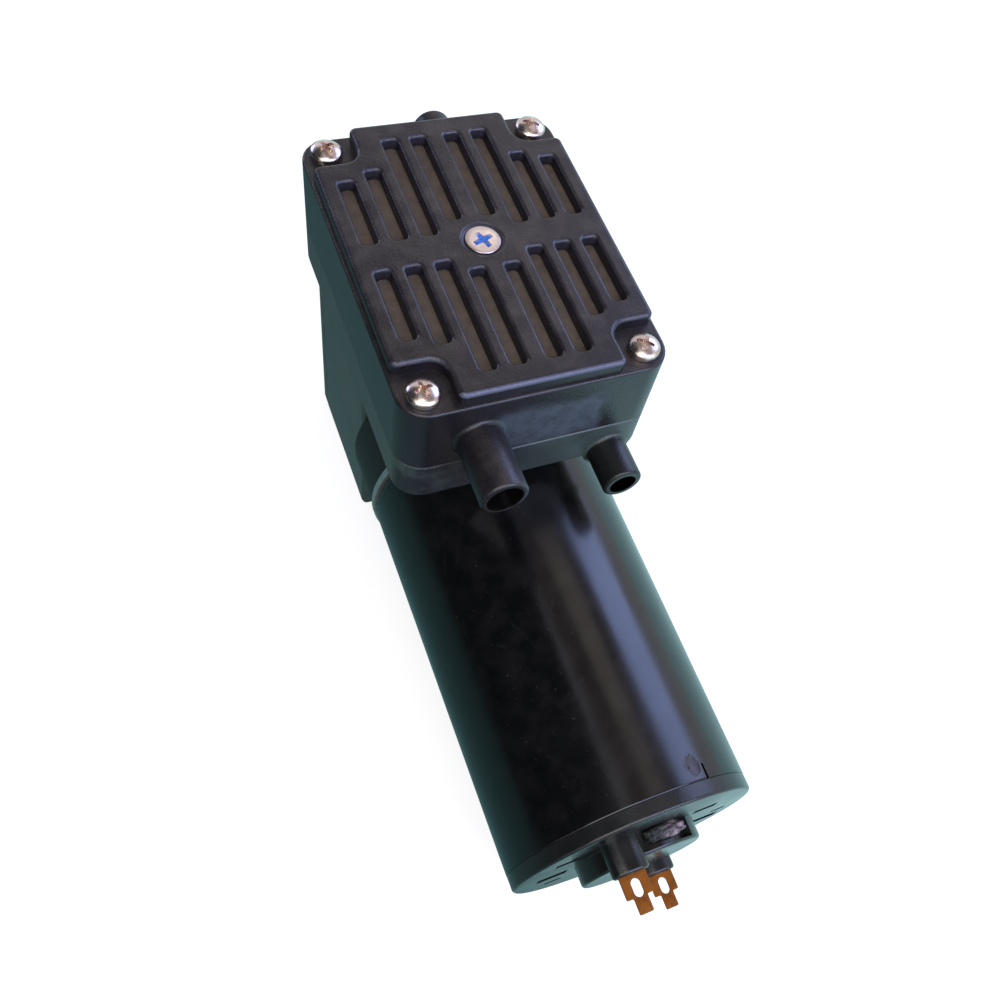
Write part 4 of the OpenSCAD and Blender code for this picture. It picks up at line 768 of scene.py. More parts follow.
# Painted highlight: the lavender that the front light leaves on front-facing rims.
LIP_HIGHLIGHT = (0.070, 0.074, 0.115)
LIP_START = 0.9
LIP_END = 1.3
FRONT_RIM = (-36.0, -38.5)
PATCH_LOW = (-6.5, 57.6)
PATCH_HIGH = (12.5, 68.4)
PATCH_FADE = 3
PATCH_RAGGED = 0.004
SUCTION_BORE = 3.15

raised = between(tree, where["Z"], (LAND_HEIGHT + LIP_START) * MM, (LAND_HEIGHT + LIP_END) * MM)
sloping = product(tree, between(tree, lie["Z"], 0.10, 0.35), between(tree, lie["Z"], 0.99, 0.90))
fronting = between(tree, lie["Y"], -0.08, -0.35)
nearer = between(tree, where["Y"], FRONT_RIM[0] * MM, FRONT_RIM[1] * MM)
# Painted highlight on front-facing rims, strongest along the front edge.
lip = product(tree, raised, sloping, fronting, shifted(tree, nearer, 0.7, 0.3))
tone = blend(tree, lip, tone, LIP_HIGHLIGHT)
broken = product(tree, noise(tree, place, 240.0, detail=5.0), PATCH_RAGGED)
patch = inside(
    tree,
    (maths(tree, "ADD", where["X"], broken), PATCH_LOW[0], PATCH_HIGH[0], PATCH_FADE),
    (maths(tree, "ADD", where["Z"], broken), PATCH_LOW[1], PATCH_HIGH[1], PATCH_FADE),
    (where["Y"], IN_FRONT, FRONT_FACE, SOFT_EDGE),
)
chalky = between(tree, noise(tree, place, 420.0, detail=6.0, roughness=0.7), 0.3, 0.62)
tone = blend(tree, product(tree, patch, shifted(tree, chalky, 0.55, 0.45)), tone, FROSTED)
join(tree, blend(tree, dust["Mask"], tone, DUST), shader.inputs["Base Color"])
dull = maths(tree, "MAXIMUM", film, product(tree, patch, 0.6))
rubbed = product(tree, wear["Mask"], -0.35)
roughen(tree, shader, maths(tree, "ADD", dull, rubbed), 0.34, 0.72)
emboss(tree, shader, grain["Height"], 0.000018)
# Painted shade in the suction port's bore.
paint_bore_shade(tree, shader, place, SUCTION_PORT, SUCTION_BORE)
print("cover finish:", len(tree.nodes), "nodes")

# %% [markdown]
# The motor can's paint
# The can is drawn steel under black gloss paint. The paint is almost a mirror: what shows on it is
# the room, stretched along the can. So the base is nearly black, the gloss is high, and a faint
# orange peel and a few hairlines keep it from looking like glass.

# %% Can paint
STAKE_MARKS = ((7.5, -100.8, 44.2), (-7.5, -100.8, 1.6))
SCUFF_REACH = (2.9, 1.9)
SCUFF = (0.03, 0.027, 0.036)

mat, tree, shader = material("can_paint")
place = own_place(tree)
scratch = place_group(tree, hair_scratches, place, Amount=0.18)
dust = place_group(tree, settled_dust, place, Film=0.05, Specks=0.35)
wear = place_group(tree, edge_wear, place, Radius=0.0003)
peel = noise(tree, place, 420.0, detail=2.0)
tone = blend(tree, scratch["Mask"], (0.0025, 0.0025, 0.003), (0.03, 0.03, 0.034))
tone = blend(tree, wear["Mask"], tone, (0.045, 0.045, 0.05))
scuffed = 0.0
for centre in STAKE_MARKS:
    away = new_node(tree, "ShaderNodeVectorMath", operation="DISTANCE")
    join(tree, place, away.inputs[0])
    away.inputs[1].default_value = Vector(centre) * MM
    ragged = shifted(tree, noise(tree, place, 900.0, detail=4.0), 0.0016, away.outputs["Value"])
    near = between(tree, ragged, SCUFF_REACH[0] * MM, SCUFF_REACH[1] * MM)
    scuffed = maths(tree, "MAXIMUM", near, scuffed)
tone = blend(tree, scuffed, tone, SCUFF)
join(tree, blend(tree, dust["Mask"], tone, (0.11, 0.10, 0.09)), shader.inputs["Base Color"])
cloud = between(tree, noise(tree, place, 60.0, detail=4.0), 0.3, 0.75)
dull = maths(tree, "MAXIMUM", product(tree, cloud, 0.35), scratch["Mask"])
roughen(tree, shader, maths(tree, "MAXIMUM", dull, scuffed), 0.18, 0.48)
emboss(tree, shader, peel, 0.000006)
shader.inputs["Specular IOR Level"].default_value = 0.6
finishes["can_paint"] = mat
print("can paint:", len(tree.nodes), "nodes")

# %% [markdown]
# The suppressor's coating
# A small part that quietens the brushes' sparks lies in a recess of the end cap. It was dipped in a
# pale grey powder coat, which is lumpy and speckled. Its left part is painted dark green-black as painted
# shade.

# %% Suppressor finish
mat, tree, shader = material("grey_lump")
place = own_place(tree)
mottle = between(tree, noise(tree, place, 900.0, detail=5.0, roughness=0.7), 0.4, 0.62)
specks = between(tree, noise(tree, place, 2600.0, detail=2.0), 0.6, 0.68)
# Painted shade: the left part, below x = 1 mm, is painted dark green-black, and the right part keeps the
# pinkish grey coat.
side = between(tree, axes(tree, place)["X"], 1.0 * MM, 4.2 * MM)
left = blend(tree, mottle, (0.006, 0.010, 0.008), (0.05, 0.06, 0.05))
right = blend(tree, mottle, (0.08, 0.06, 0.062), (0.36, 0.28, 0.30))
tone = blend(tree, side, left, right)
join(tree, blend(tree, specks, tone, (0.02, 0.02, 0.022)), shader.inputs["Base Color"])
roughen(tree, shader, mottle, 0.5, 0.8)
emboss(tree, shader, mottle, 0.00012)
finishes["grey_lump"] = mat
print("suppressor finish:", len(tree.nodes), "nodes")

# %% [markdown]
# Locked screw
# The centre screw shares the nickel of the others. Below the face of its head, the cross is filled
# with a blue thread-locking compound, which a mask on the height turns on.

# %% Locked screw finish
LOCK_HEIGHT = TOP_HEIGHT - 0.12
LOCK_FADE = 0.35
LOCK_BLUE = (0.08, 0.26, 0.72)

tree, shader = metal("locked_screw", (0.74, 0.66, 0.63), 0.3, tarnish=(0.66, 0.57, 0.54), lines=900.0)
place = own_place(tree)
sunk = between(tree, axes(tree, place)["Z"], LOCK_HEIGHT * MM, (LOCK_HEIGHT - LOCK_FADE) * MM)
mask = product(tree, sunk, between(tree, noise(tree, place, 1500.0, detail=3.0), 0.36, 0.52))
bare = shader.inputs["Base Color"].links[0].from_socket
join(tree, blend(tree, mask, bare, LOCK_BLUE), shader.inputs["Base Color"])
join(tree, maths(tree, "SUBTRACT", 1.0, mask), shader.inputs["Metallic"])
print("locking compound below", round(LOCK_HEIGHT, 2), "mm")

# %% [markdown]
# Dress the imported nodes
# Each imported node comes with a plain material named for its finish. The finish of that name takes its
# place, so that even a piece which is seldom seen, such as a winding or a brush, is finished.

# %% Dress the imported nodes
finish_of = {}
for name, node in nodes.items():
    for slot in node.material_slots:
        finish_of[name] = slot.material.name.split(".")[0]
        slot.material = finishes[finish_of[name]]
print("dressed", len(nodes), "nodes in", len(finishes), "finishes")

# %% [markdown]
# Finer pieces
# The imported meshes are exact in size, but light needs more than size: a soft edge to catch, a smooth
# curve to run along and a recess that looks cut. So the pieces that show are made again here, in the
# same place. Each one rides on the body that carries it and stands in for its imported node.

# %% Piece helpers
SAME_POINT = 0.0005


def new_object(name, mesh):
    piece = bpy.data.objects.new(name, mesh)
    bpy.context.scene.collection.objects.link(piece)
    return piece


def tidy_mesh(bm, name):
    """A mesh in metres from one in mm: doubles merged, faces turned outward."""
    bmesh.ops.remove_doubles(bm, verts=bm.verts, dist=SAME_POINT)
    bmesh.ops.recalc_face_normals(bm, faces=bm.faces)
    bmesh.ops.scale(bm, vec=(MM, MM, MM), verts=bm.verts)
    mesh = bpy.data.meshes.new(name)
    bm.to_mesh(mesh)
    bm.free()
    return mesh


def settle(piece, name):
    """The piece as its modifiers leave it, as a plain mesh with none."""
    depsgraph = bpy.context.evaluated_depsgraph_get()
    mesh = bpy.data.meshes.new_from_object(piece.evaluated_get(depsgraph))
    piece.modifiers.clear()
    piece.data = mesh
    mesh.name = name
    return piece


def shade(piece, angle=40):
    """Smooth shading that breaks at edges sharper than that angle in degrees."""
    piece.data.shade_smooth()
    piece.data.set_sharp_from_angle(angle=math.radians(angle))


def install(piece, finish, body, *replaced):
    """Gives a piece its finish and its body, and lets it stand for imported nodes."""
    piece.data.materials.clear()
    piece.data.materials.append(finishes[finish])
    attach(piece, body)
    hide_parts(*replaced)
    print(piece.name, "stands for", ", ".join(replaced), "with", len(piece.data.polygons), "faces")

# %% [markdown]
# Shapes in millimetres
# The pieces are drawn as a workshop would draw them, in millimetres: rings of points joined into a
# skin, profiles turned on a lathe, arcs and plain slabs. Only the finished mesh is scaled to metres.

# %% Shape helpers
def ring_stack(bm, rings, place=Matrix.Identity(4), closed=False):
    """Joins rings of the same number of points. The ends are capped, or joined where closed."""
    loops = [[bm.verts.new(place @ Vector(p)) for p in ring] for ring in rings]
    pairs = list(zip(loops, loops[1:]))
    if closed:
        pairs.append((loops[-1], loops[0]))
    count = len(loops[0])
    for low, high in pairs:
        for k in range(count):
            n = (k + 1) % count
            bm.faces.new((low[k], low[n], high[n], high[k]))
    if not closed:
        bm.faces.new(loops[0])
        bm.faces.new(loops[-1])


def lathe(bm, profile, place=Matrix.Identity(4), segments=96, closed=False):
    """Turns a profile of (radius, height) in mm about Z."""
    angles = [2 * math.pi * k / segments for k in range(segments)]
    rings = [[(r * math.cos(a), r * math.sin(a), z) for a in angles] for r, z in profile]
    ring_stack(bm, rings, place, closed)


def arc(centre, radius, start, end, steps):
    """Points of an arc, with its angles in degrees."""
    turns = [math.radians(start + (end - start) * k / steps) for k in range(steps + 1)]
    return [(centre[0] + radius * math.cos(t), centre[1] + radius * math.sin(t)) for t in turns]


def motor_place(x=0.0, y=0.0, z=0.0):
    """The motor's own frame, moved within itself. Its Z runs from the front face to the rear."""
    lying = Matrix.Translation((0, MOTOR_FACE, AXIS_HEIGHT)) @ Matrix.Rotation(math.pi / 2, 4, "X")
    return lying @ Matrix.Translation((x, y, z))


def slab(bm, place, low, high):
    """A box between two corners."""
    low, high = Vector(low), Vector(high)
    size = Matrix.Diagonal((*(high - low), 1))
    bmesh.ops.create_cube(bm, size=1.0, matrix=place @ Matrix.Translation((low + high) / 2) @ size)


# %% [markdown]
# Softened copies
# No moulded, pressed or cast edge is truly sharp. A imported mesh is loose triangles, so a copy of it
# is merged, and its flat areas are joined back into single faces. Then a narrow bevel goes round
# every hard edge, and weighted normals keep the flats flat beside it. The cover's rims are rounded
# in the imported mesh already, so it gets no bevel.

# %% Softening
MERGE_REACH = 0.002
FLAT_ANGLE = 0.6
EDGE_ANGLE = 38
SMOOTH_ANGLE = 50


def even_normals(piece):
    """Weighted normals, which keep flats flat beside an edge."""
    even = piece.modifiers.new("even", "WEIGHTED_NORMAL")
    even.keep_sharp = True
    settle(piece, piece.name)


def rounded_edges(piece, width, angle):
    """A narrow bevel of a width in mm along every edge sharper than that angle in degrees."""
    bevel = piece.modifiers.new("edges", "BEVEL")
    bevel.width = width * MM
    bevel.segments = 2
    bevel.limit_method = "ANGLE"
    bevel.angle_limit = math.radians(angle)


def softened(name, width):
    """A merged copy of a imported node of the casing, with edges rounded by a width in mm."""
    bm = bmesh.new()
    bm.from_mesh(nodes[name].data)
    bmesh.ops.remove_doubles(bm, verts=bm.verts, dist=MERGE_REACH * MM)
    bmesh.ops.dissolve_limit(bm, angle_limit=math.radians(FLAT_ANGLE), verts=bm.verts, edges=bm.edges)
    mesh = bpy.data.meshes.new(name + "_soft")
    bm.to_mesh(mesh)
    bm.free()
    piece = new_object(name + "_soft", mesh)
    shade(piece, 180 if width else SMOOTH_ANGLE)
    if width:
        rounded_edges(piece, width, EDGE_ANGLE)
    even_normals(piece)
    install(piece, finish_of[name], "casing", name)
    return piece


softened("crankcase", 0.25)
softened("rear_cover", 0.12)
softened("mounting_ring", 0.1)
cover = softened("head_cover", 0.0)

# %% [markdown]
# Carving
# Recesses, slits and holes are cut from a plain body, as a press or a mill would cut them. One small
# Geometry Nodes tree takes the body, an object that holds the cutters and the finish.

# %% Carve tree
def new_tree(name, **sockets):
    """A Geometry Nodes tree with a geometry going in and out and the named inputs."""
    tree = bpy.data.node_groups.new(name, "GeometryNodeTree")
    tree.interface.new_socket("Geometry", in_out="INPUT", socket_type="NodeSocketGeometry")
    for key, kind in sockets.items():
        tree.interface.new_socket(key, in_out="INPUT", socket_type=kind)
    tree.interface.new_socket("Geometry", in_out="OUTPUT", socket_type="NodeSocketGeometry")
    return tree, tree.nodes.new("NodeGroupInput"), tree.nodes.new("NodeGroupOutput")


def run_tree(piece, tree, **values):
    """Adds the tree to a piece, sets its inputs by name and bakes the result."""
    modifier = piece.modifiers.new(tree.name, "NODES")
    modifier.node_group = tree
    for item in tree.interface.items_tree:
        if item.item_type == "SOCKET" and item.in_out == "INPUT" and item.name in values:
            modifier[item.identifier] = values[item.name]
    return settle(piece, piece.name)


def finish_tree(tree, mesh, start, end):
    """Ends a tree: instances made real, and the finish set."""
    realize = new_node(tree, "GeometryNodeRealizeInstances")
    join(tree, mesh, realize.inputs[0])
    paint = new_node(tree, "GeometryNodeSetMaterial")
    join(tree, realize.outputs[0], paint.inputs["Geometry"])
    join(tree, start.outputs["Finish"], paint.inputs["Material"])
    join(tree, paint.outputs[0], end.inputs[0])


carve, start, end = new_tree("carve", Cutter="NodeSocketObject", Finish="NodeSocketMaterial")
cutter = new_node(carve, "GeometryNodeObjectInfo")
join(carve, start.outputs["Cutter"], cutter.inputs["Object"])
cut = new_node(
    carve, "GeometryNodeMeshBoolean", operation="DIFFERENCE", solver="EXACT", Self_Intersection=True
)
join(carve, start.outputs["Geometry"], cut.inputs[0])
join(carve, cutter.outputs["Geometry"], cut.inputs[1])
finish_tree(carve, cut.outputs[0], start, end)


def carved(name, body, cutters, finish):
    """The body with the cutters taken out of it. Both are bmeshes in mm."""
    piece = new_object(name, tidy_mesh(body, name))
    tool = new_object(name + "_cutter", tidy_mesh(cutters, name + "_cutter"))
    run_tree(piece, carve, Cutter=tool, Finish=finishes[finish])
    bpy.data.objects.remove(tool)
    return piece


print("carve tree:", len(carve.nodes), "nodes")

# %% [markdown]
# Sunken seat
# The plateau is dished round the centre screw, so that its head sits just below the touch of a hand.
# The lip of the dish is rounded and catches a thin ring of light. A turned cutter presses it into the
# cover, and the screw fills its middle.

# %% Sunken seat
SEAT_LIP = [
    (3.05, -0.75), (3.05, -0.42), (3.12, -0.30), (3.28, -0.17), (3.55, -0.07), (3.9, -0.01), (4.05, 0.5),
]

bm = bmesh.new()
lathe(bm, [(r, TOP_HEIGHT + z) for r, z in SEAT_LIP], Matrix.Translation((0, HEAD_MIDDLE, 0)), segments=72)
seat = new_object("seat_cutter", tidy_mesh(bm, "seat_cutter"))
run_tree(cover, carve, Cutter=seat, Finish=finishes["cover_plastic"])
bpy.data.objects.remove(seat)
shade(cover, SMOOTH_ANGLE)
even_normals(cover)
print("seat cut, cover has", len(cover.data.polygons), "faces")

# %% [markdown]
# Cross recess screws
# The four cover screws and the four of the rear plate are nickelled pan heads with a cross recess.
# The recess tapers, so its cutter is a stack of cross outlines that shrink as they go down. It starts
# above the head, so that it cuts a clean mouth.

# %% Cross recess
CROSS_DEPTH = 0.6
CROSS_REACH = 0.30
CROSS_HALF = 0.055
CROSS_MOUTH = (-0.3, 1.12)
CROSS_TAPER = ((0.0, 1.0), (0.75, 0.72), (1.0, 0.30))


def cross_outline(reach, half, z):
    """A cross of that reach and half width at one height."""
    corner = half * 1.25
    return [
        (reach, -half, z), (reach, half, z), (corner, corner, z), (half, reach, z),
        (-half, reach, z), (-corner, corner, z), (-reach, half, z), (-reach, -half, z),
        (-corner, -corner, z), (-half, -reach, z), (half, -reach, z), (corner, -corner, z),
    ]


def cross_cutter(bm, top, depth, reach, half):
    """A cross that narrows as it goes down, and starts a little above the top."""
    drops = [CROSS_MOUTH] + [(depth * part, share) for part, share in CROSS_TAPER]
    rings = [
        cross_outline(reach * share, half * (0.55 + 0.45 * share), top - drop) for drop, share in drops
    ]
    ring_stack(bm, rings)

# %% [markdown]
# Thread
# A thread is a helix: the radius of each point of the shank depends on its height and its turn
# together. The first turns are smaller, as on a real screw, so that it finds its hole.

# %% Threaded shank
THREAD_PITCH = 0.5
THREAD_DEPTH = 0.28
SCREW_RADIUS = 1.5
RINGS_PER_TURN = 4
TIP_LENGTH = 0.8
TIP_SHARE = 0.72


def thread_rings(length, top, segments=18):
    """Rings of a threaded shank from its tip up to a height."""
    steps = int(length / THREAD_PITCH * RINGS_PER_TURN)
    rings = []
    for step in range(steps + 1):
        z = top - length + length * step / steps
        lead = min(1.0, (z - top + length) / TIP_LENGTH)
        ring = []
        for k in range(segments):
            phase = (z / THREAD_PITCH - k / segments) % 1.0
            crest = SCREW_RADIUS - THREAD_DEPTH * abs(2 * phase - 1)
            radius = crest * (TIP_SHARE + (1 - TIP_SHARE) * lead)
            turn = 2 * math.pi * k / segments
            ring.append((radius * math.cos(turn), radius * math.sin(turn), z))
        rings.append(ring)
    return rings


def add_shank(screw, length, top):
    """Adds a threaded shank below a height to a screw's mesh."""
    bm = bmesh.new()
    ring_stack(bm, thread_rings(length, top))
    shank = tidy_mesh(bm, screw.name + "_shank")
    bm = bmesh.new()
    bm.from_mesh(screw.data)
    bm.from_mesh(shank)
    bm.to_mesh(screw.data)
    bm.free()

# %% [markdown]
# Pan head
# The head is turned. From a flat underside a short upright rim rises to a low dome, which is part of
# a ball. Then the cross is cut, and the shank is added below.

# %% Pan head
DOME_FALL = 0.42
HEAD_ANGLE = 32


def pan_screw(name, diameter, height, length):
    """A pan head screw whose head sits on z = 0."""
    fall = DOME_FALL * diameter
    dome = fall + height
    reach = diameter / 2
    rim = math.sqrt(dome * dome - reach * reach) - fall
    crown = [
        (r, math.sqrt(dome * dome - r * r) - fall)
        for r in (reach * k / 9 for k in range(8, 0, -1))
    ]
    head = [(SCREW_RADIUS - 0.2, 0), (reach - 0.15, 0), (reach, 0.15), (reach, rim - 0.3)]
    head += [(reach - 0.05, rim - 0.08), (reach - 0.17, rim + 0.06)] + crown + [(0.02, height)]
    bm = bmesh.new()
    lathe(bm, head, segments=64)
    cross = bmesh.new()
    cross_cutter(cross, height, height * CROSS_DEPTH, diameter * CROSS_REACH, diameter * CROSS_HALF)
    screw = carved(name, bm, cross, "nickel_screw")
    add_shank(screw, length, -0.01)
    shade(screw, HEAD_ANGLE)
    return screw

# %% [markdown]
# Screws on points
# The same screw stands in four places, and each was left at its own angle when it was tightened. A
# second tree puts a copy on every point of a mesh, laid along one direction, and turns it on its own
# axis by the point's turn.

# %% Screws on points
screw_set, start, end = new_tree(
    "screw_set", Screw="NodeSocketObject", Lie="NodeSocketRotation", Finish="NodeSocketMaterial"
)
source = new_node(screw_set, "GeometryNodeObjectInfo")
join(screw_set, start.outputs["Screw"], source.inputs["Object"])
turn = new_node(screw_set, "GeometryNodeInputNamedAttribute", data_type="FLOAT", Name="turn")
spin = new_node(screw_set, "ShaderNodeCombineXYZ")
join(screw_set, turn.outputs["Attribute"], spin.inputs["Z"])
as_turn = new_node(screw_set, "FunctionNodeEulerToRotation")
join(screw_set, spin.outputs[0], as_turn.inputs[0])
lie = new_node(screw_set, "FunctionNodeRotateRotation", rotation_space="LOCAL")
join(screw_set, start.outputs["Lie"], lie.inputs["Rotation"])
join(screw_set, as_turn.outputs[0], lie.inputs["Rotate By"])
copies = new_node(screw_set, "GeometryNodeInstanceOnPoints")
join(screw_set, start.outputs["Geometry"], copies.inputs["Points"])
join(screw_set, source.outputs["Geometry"], copies.inputs["Instance"])
join(screw_set, lie.outputs[0], copies.inputs["Rotation"])
finish_tree(screw_set, copies.outputs[0], start, end)


def screws_at(name, screw, places, turns, lie):
    """Copies of a screw at places in mm, each turned on its axis by an angle in degrees. The piece
    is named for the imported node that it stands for, with _fine added."""
    mesh = bpy.data.meshes.new(name)
    mesh.from_pydata([tuple(c * MM for c in p) for p in places], [], [])
    attribute = mesh.attributes.new("turn", "FLOAT", "POINT")
    attribute.data.foreach_set("value", [math.radians(t) for t in turns])
    piece = new_object(name, mesh)
    run_tree(piece, screw_set, Screw=screw, Lie=lie, Finish=finishes["nickel_screw"])
    bpy.data.objects.remove(screw)
    install(piece, "nickel_screw", "casing", name.replace("_fine", ""))


HEAD_DIAMETER = 5.5
COVER_HEAD = 2.1
COVER_SHANK = 19.6
REAR_HEAD = 1.9
REAR_SHANK = 9.0
REAR_FACE = 15.0
cover_places = [(x, HEAD_MIDDLE + y, LAND_HEIGHT) for y in (-26.2, 26.2) for x in (-18.9, 18.9)]
rear_places = [(x, REAR_FACE, z) for z in (4.2, 43.7) for x in (-17.2, 17.2)]
screw = pan_screw("cover_screw", HEAD_DIAMETER, COVER_HEAD, COVER_SHANK)
screws_at("cover_screws_fine", screw, cover_places, (12, -38, 24, 58), Euler((0, 0, 0)))
screw = pan_screw("rear_screw", HEAD_DIAMETER, REAR_HEAD, REAR_SHANK)
screws_at("rear_cover_screws_fine", screw, rear_places, (8, 50, -20, 31), Euler((-math.pi / 2, 0, 0)))

# %% [markdown]
# Centre screw
# One countersunk screw holds the middle of the cover, flush with the plateau. Its head is nearly
# flat with a thin bright rim, and the cross holds a smear of blue locking compound.

# %% Centre screw
SUNK_HEAD = [
    (1.3, -2.1), (2.93, -0.42), (3.0, -0.30), (3.0, -0.10), (2.95, -0.03), (2.82, 0.0),
    (2.0, -0.01), (1.0, -0.01), (0.02, -0.01),
]
SUNK_CROSS = (1.25, 1.85, 0.42)
CENTRE_SHANK = 9.0
CENTRE_TURN = 20

bm = bmesh.new()
lathe(bm, SUNK_HEAD, segments=72)
cross = bmesh.new()
cross_cutter(cross, 0.0, *SUNK_CROSS)
centre = carved("centre_screw_fine", bm, cross, "nickel_screw")
add_shank(centre, CENTRE_SHANK, -2.0)
seat_place = Matrix.Translation((0, HEAD_MIDDLE * MM, TOP_HEIGHT * MM))
centre.data.transform(seat_place @ Matrix.Rotation(math.radians(CENTRE_TURN), 4, "Z"))
shade(centre, HEAD_ANGLE)
install(centre, "nickel_screw", "casing", "centre_screw")
centre.data.materials[0] = finishes["locked_screw"]

# %% [markdown]
# Motor can
# The can is drawn from sheet steel. Its front shoulder is rounded by the draw, and its rear edge is
# rolled over the end cap and staked: two slits let a tab be pushed inward, and each has a round
# punch mark beside it. A lathe makes the wall, and the carve tree cuts the holes, slits and marks.

# %% Can wall
ON_WALL = 0.002
FACING_OUT = 0.995


def polish_wall(piece, radius):
    """Sets true radial normals on the wall about the motor's axis, whatever triangles a cut left."""
    mesh = piece.data
    normals = [corner.vector.copy() for corner in mesh.corner_normals]
    for face in mesh.polygons:
        for k in face.loop_indices:
            co = mesh.vertices[mesh.loops[k].vertex_index].co
            out = Vector((co.x, 0, co.z - AXIS_HEIGHT * MM))
            near = abs(out.length - radius * MM) < ON_WALL * MM
            if near and face.normal.dot(out.normalized()) > FACING_OUT:
                normals[k] = out.normalized()
    mesh.normals_split_custom_set(normals)


CAN_INNER = 20.9
FRONT_WALL = 1.6
SHOULDER = 1.6
ROLLED_EDGE = 0.35
WALL_STEPS = (1.0, 2.0, 3.0, 4.0, 5.0, 6.0, 7.5, 20, 40, 60)
BEARING_CUP = [
    (8.95, 0), (8.75, -0.2), (8.75, -4.3), (8.55, -4.5), (3.5, -4.5), (3.5, -3.7), (6.52, -3.7),
    (6.52, FRONT_WALL),
]

profile = [(CAN_INNER, FRONT_WALL), (CAN_INNER, CAN_LENGTH - 0.5), (CAN_INNER + 0.15, CAN_LENGTH - 0.12)]
profile += [(CAN_INNER + 0.5, CAN_LENGTH)]
profile += arc((CAN_RADIUS - ROLLED_EDGE, CAN_LENGTH - ROLLED_EDGE), ROLLED_EDGE, 90, 0, 5)
profile += [(CAN_RADIUS, CAN_LENGTH - back) for back in WALL_STEPS]
profile += arc((CAN_RADIUS - SHOULDER, SHOULDER), SHOULDER, 0, -90, 10) + BEARING_CUP
wall = bmesh.new()
lathe(wall, profile, motor_place(), segments=192, closed=True)
print("can wall:", len(wall.faces), "faces")

# %% Can holes, slits and punch marks
SCREW_HOLE = (14.5, 2.08)
SLIT_TURNS = (65, 245)
SLIT_HALF = 0.25
SLIT_LENGTH = 2.5
SLIT_REACH = 1.4
WALL_MIDDLE = CAN_RADIUS - 0.8
PUNCH_PLACE = (CAN_RADIUS + 0.55, 2.2, CAN_LENGTH - 2.6)
PUNCH_SIZE = (1.0, 1.9, 2.3)
PIT_PLACE = (CAN_RADIUS - 0.35, 2.9, CAN_LENGTH - 2.7)
PIT_RADIUS = 0.35

cutters = bmesh.new()
for side in (-1, 1):
    away, radius = SCREW_HOLE
    lathe(cutters, [(radius, -1), (radius, FRONT_WALL + 1)], motor_place(side * away), segments=32)
for angle in SLIT_TURNS:
    turned = motor_place() @ Matrix.Rotation(math.radians(angle), 4, "Z")
    slit_end = turned @ Matrix.Translation((WALL_MIDDLE, 0, CAN_LENGTH - SLIT_LENGTH))
    slit_end = slit_end @ Matrix.Rotation(math.pi / 2, 4, "Y")
    lathe(cutters, [(SLIT_HALF, -SLIT_REACH), (SLIT_HALF, SLIT_REACH)], slit_end, segments=16)
    low = (WALL_MIDDLE - SLIT_REACH, -SLIT_HALF, CAN_LENGTH - SLIT_LENGTH)
    slab(cutters, turned, low, (WALL_MIDDLE + SLIT_REACH, SLIT_HALF, CAN_LENGTH + 1))
    punch = turned @ Matrix.Translation(PUNCH_PLACE) @ Matrix.Diagonal((*PUNCH_SIZE, 1))
    bmesh.ops.create_icosphere(cutters, subdivisions=4, radius=1.0, matrix=punch)
    pit = turned @ Matrix.Translation(PIT_PLACE)
    bmesh.ops.create_icosphere(cutters, subdivisions=3, radius=PIT_RADIUS, matrix=pit)
can = carved("motor_can_fine", wall, cutters, "can_paint")
shade(can, 35)
polish_wall(can, CAN_RADIUS)
install(can, "can_paint", "casing", "motor_can")

# %% [markdown]
# End cap
# The plastic end cap closes the can's rear and carries the brushes behind it. It is one moulding: a
# rim as wide as the can, a round boss over the bush, two posts that the blades stand in, vent slots
# beside the boss and a pocket for the suppressor. The rim and boss are turned, with rounded edges.
# The posts are stacks of a rounded outline. Then all that is open is carved out of the whole.

# %% End cap sizes
CAP_THICKNESS = 2.7
CAP_RADIUS = 22.45
CAP_EDGE = 0.55
SPIGOT_RADIUS = 20.8
BOSS_RADIUS = 11.1
BOSS_HEIGHT = 3.8
BOSS_EDGE = 0.6
BUSH_SEAT = 4.1
POST_SIZE = (6.4, 4.2)
POST_SQUARENESS = 2.3
POST_EDGE = 0.5
CAP_CORNER = 0.3
BLADE_PLACES = ((-6.0, 12.0), (6.0, -12.0))
BLADE_WIDTH = 4.75
BLADE_THICKNESS = 0.5
CAP_FACE = CAN_LENGTH + CAP_THICKNESS
BOSS_FACE = CAP_FACE + BOSS_HEIGHT
cap_low, cap_high = corners("end_cap")
POST_FACE = MOTOR_FACE - cap_low.y
SPIGOT_FACE = MOTOR_FACE - cap_high.y
print("end cap from", round(SPIGOT_FACE, 1), "to", round(POST_FACE, 1), "mm behind the motor's front")

# %% End cap body
def squared_ring(width, depth, squareness, z, count=48):
    """A closed outline between an ellipse, at 2, and a rectangle, at a high squareness."""
    ring = []
    for k in range(count):
        turn = 2 * math.pi * k / count
        c, s = math.cos(turn), math.sin(turn)
        x = math.copysign(abs(c) ** (2 / squareness), c) * width / 2
        ring.append((x, math.copysign(abs(s) ** (2 / squareness), s) * depth / 2, z))
    return ring


def post_rings(foot, face):
    """Rings of a post with a rounded rim."""
    rings = [squared_ring(*POST_SIZE, POST_SQUARENESS, foot)]
    for inset, z in arc((POST_EDGE, face - POST_EDGE), POST_EDGE, 180, 90, 5):
        rings.append(squared_ring(POST_SIZE[0] - 2 * inset, POST_SIZE[1] - 2 * inset, POST_SQUARENESS, z))
    return rings


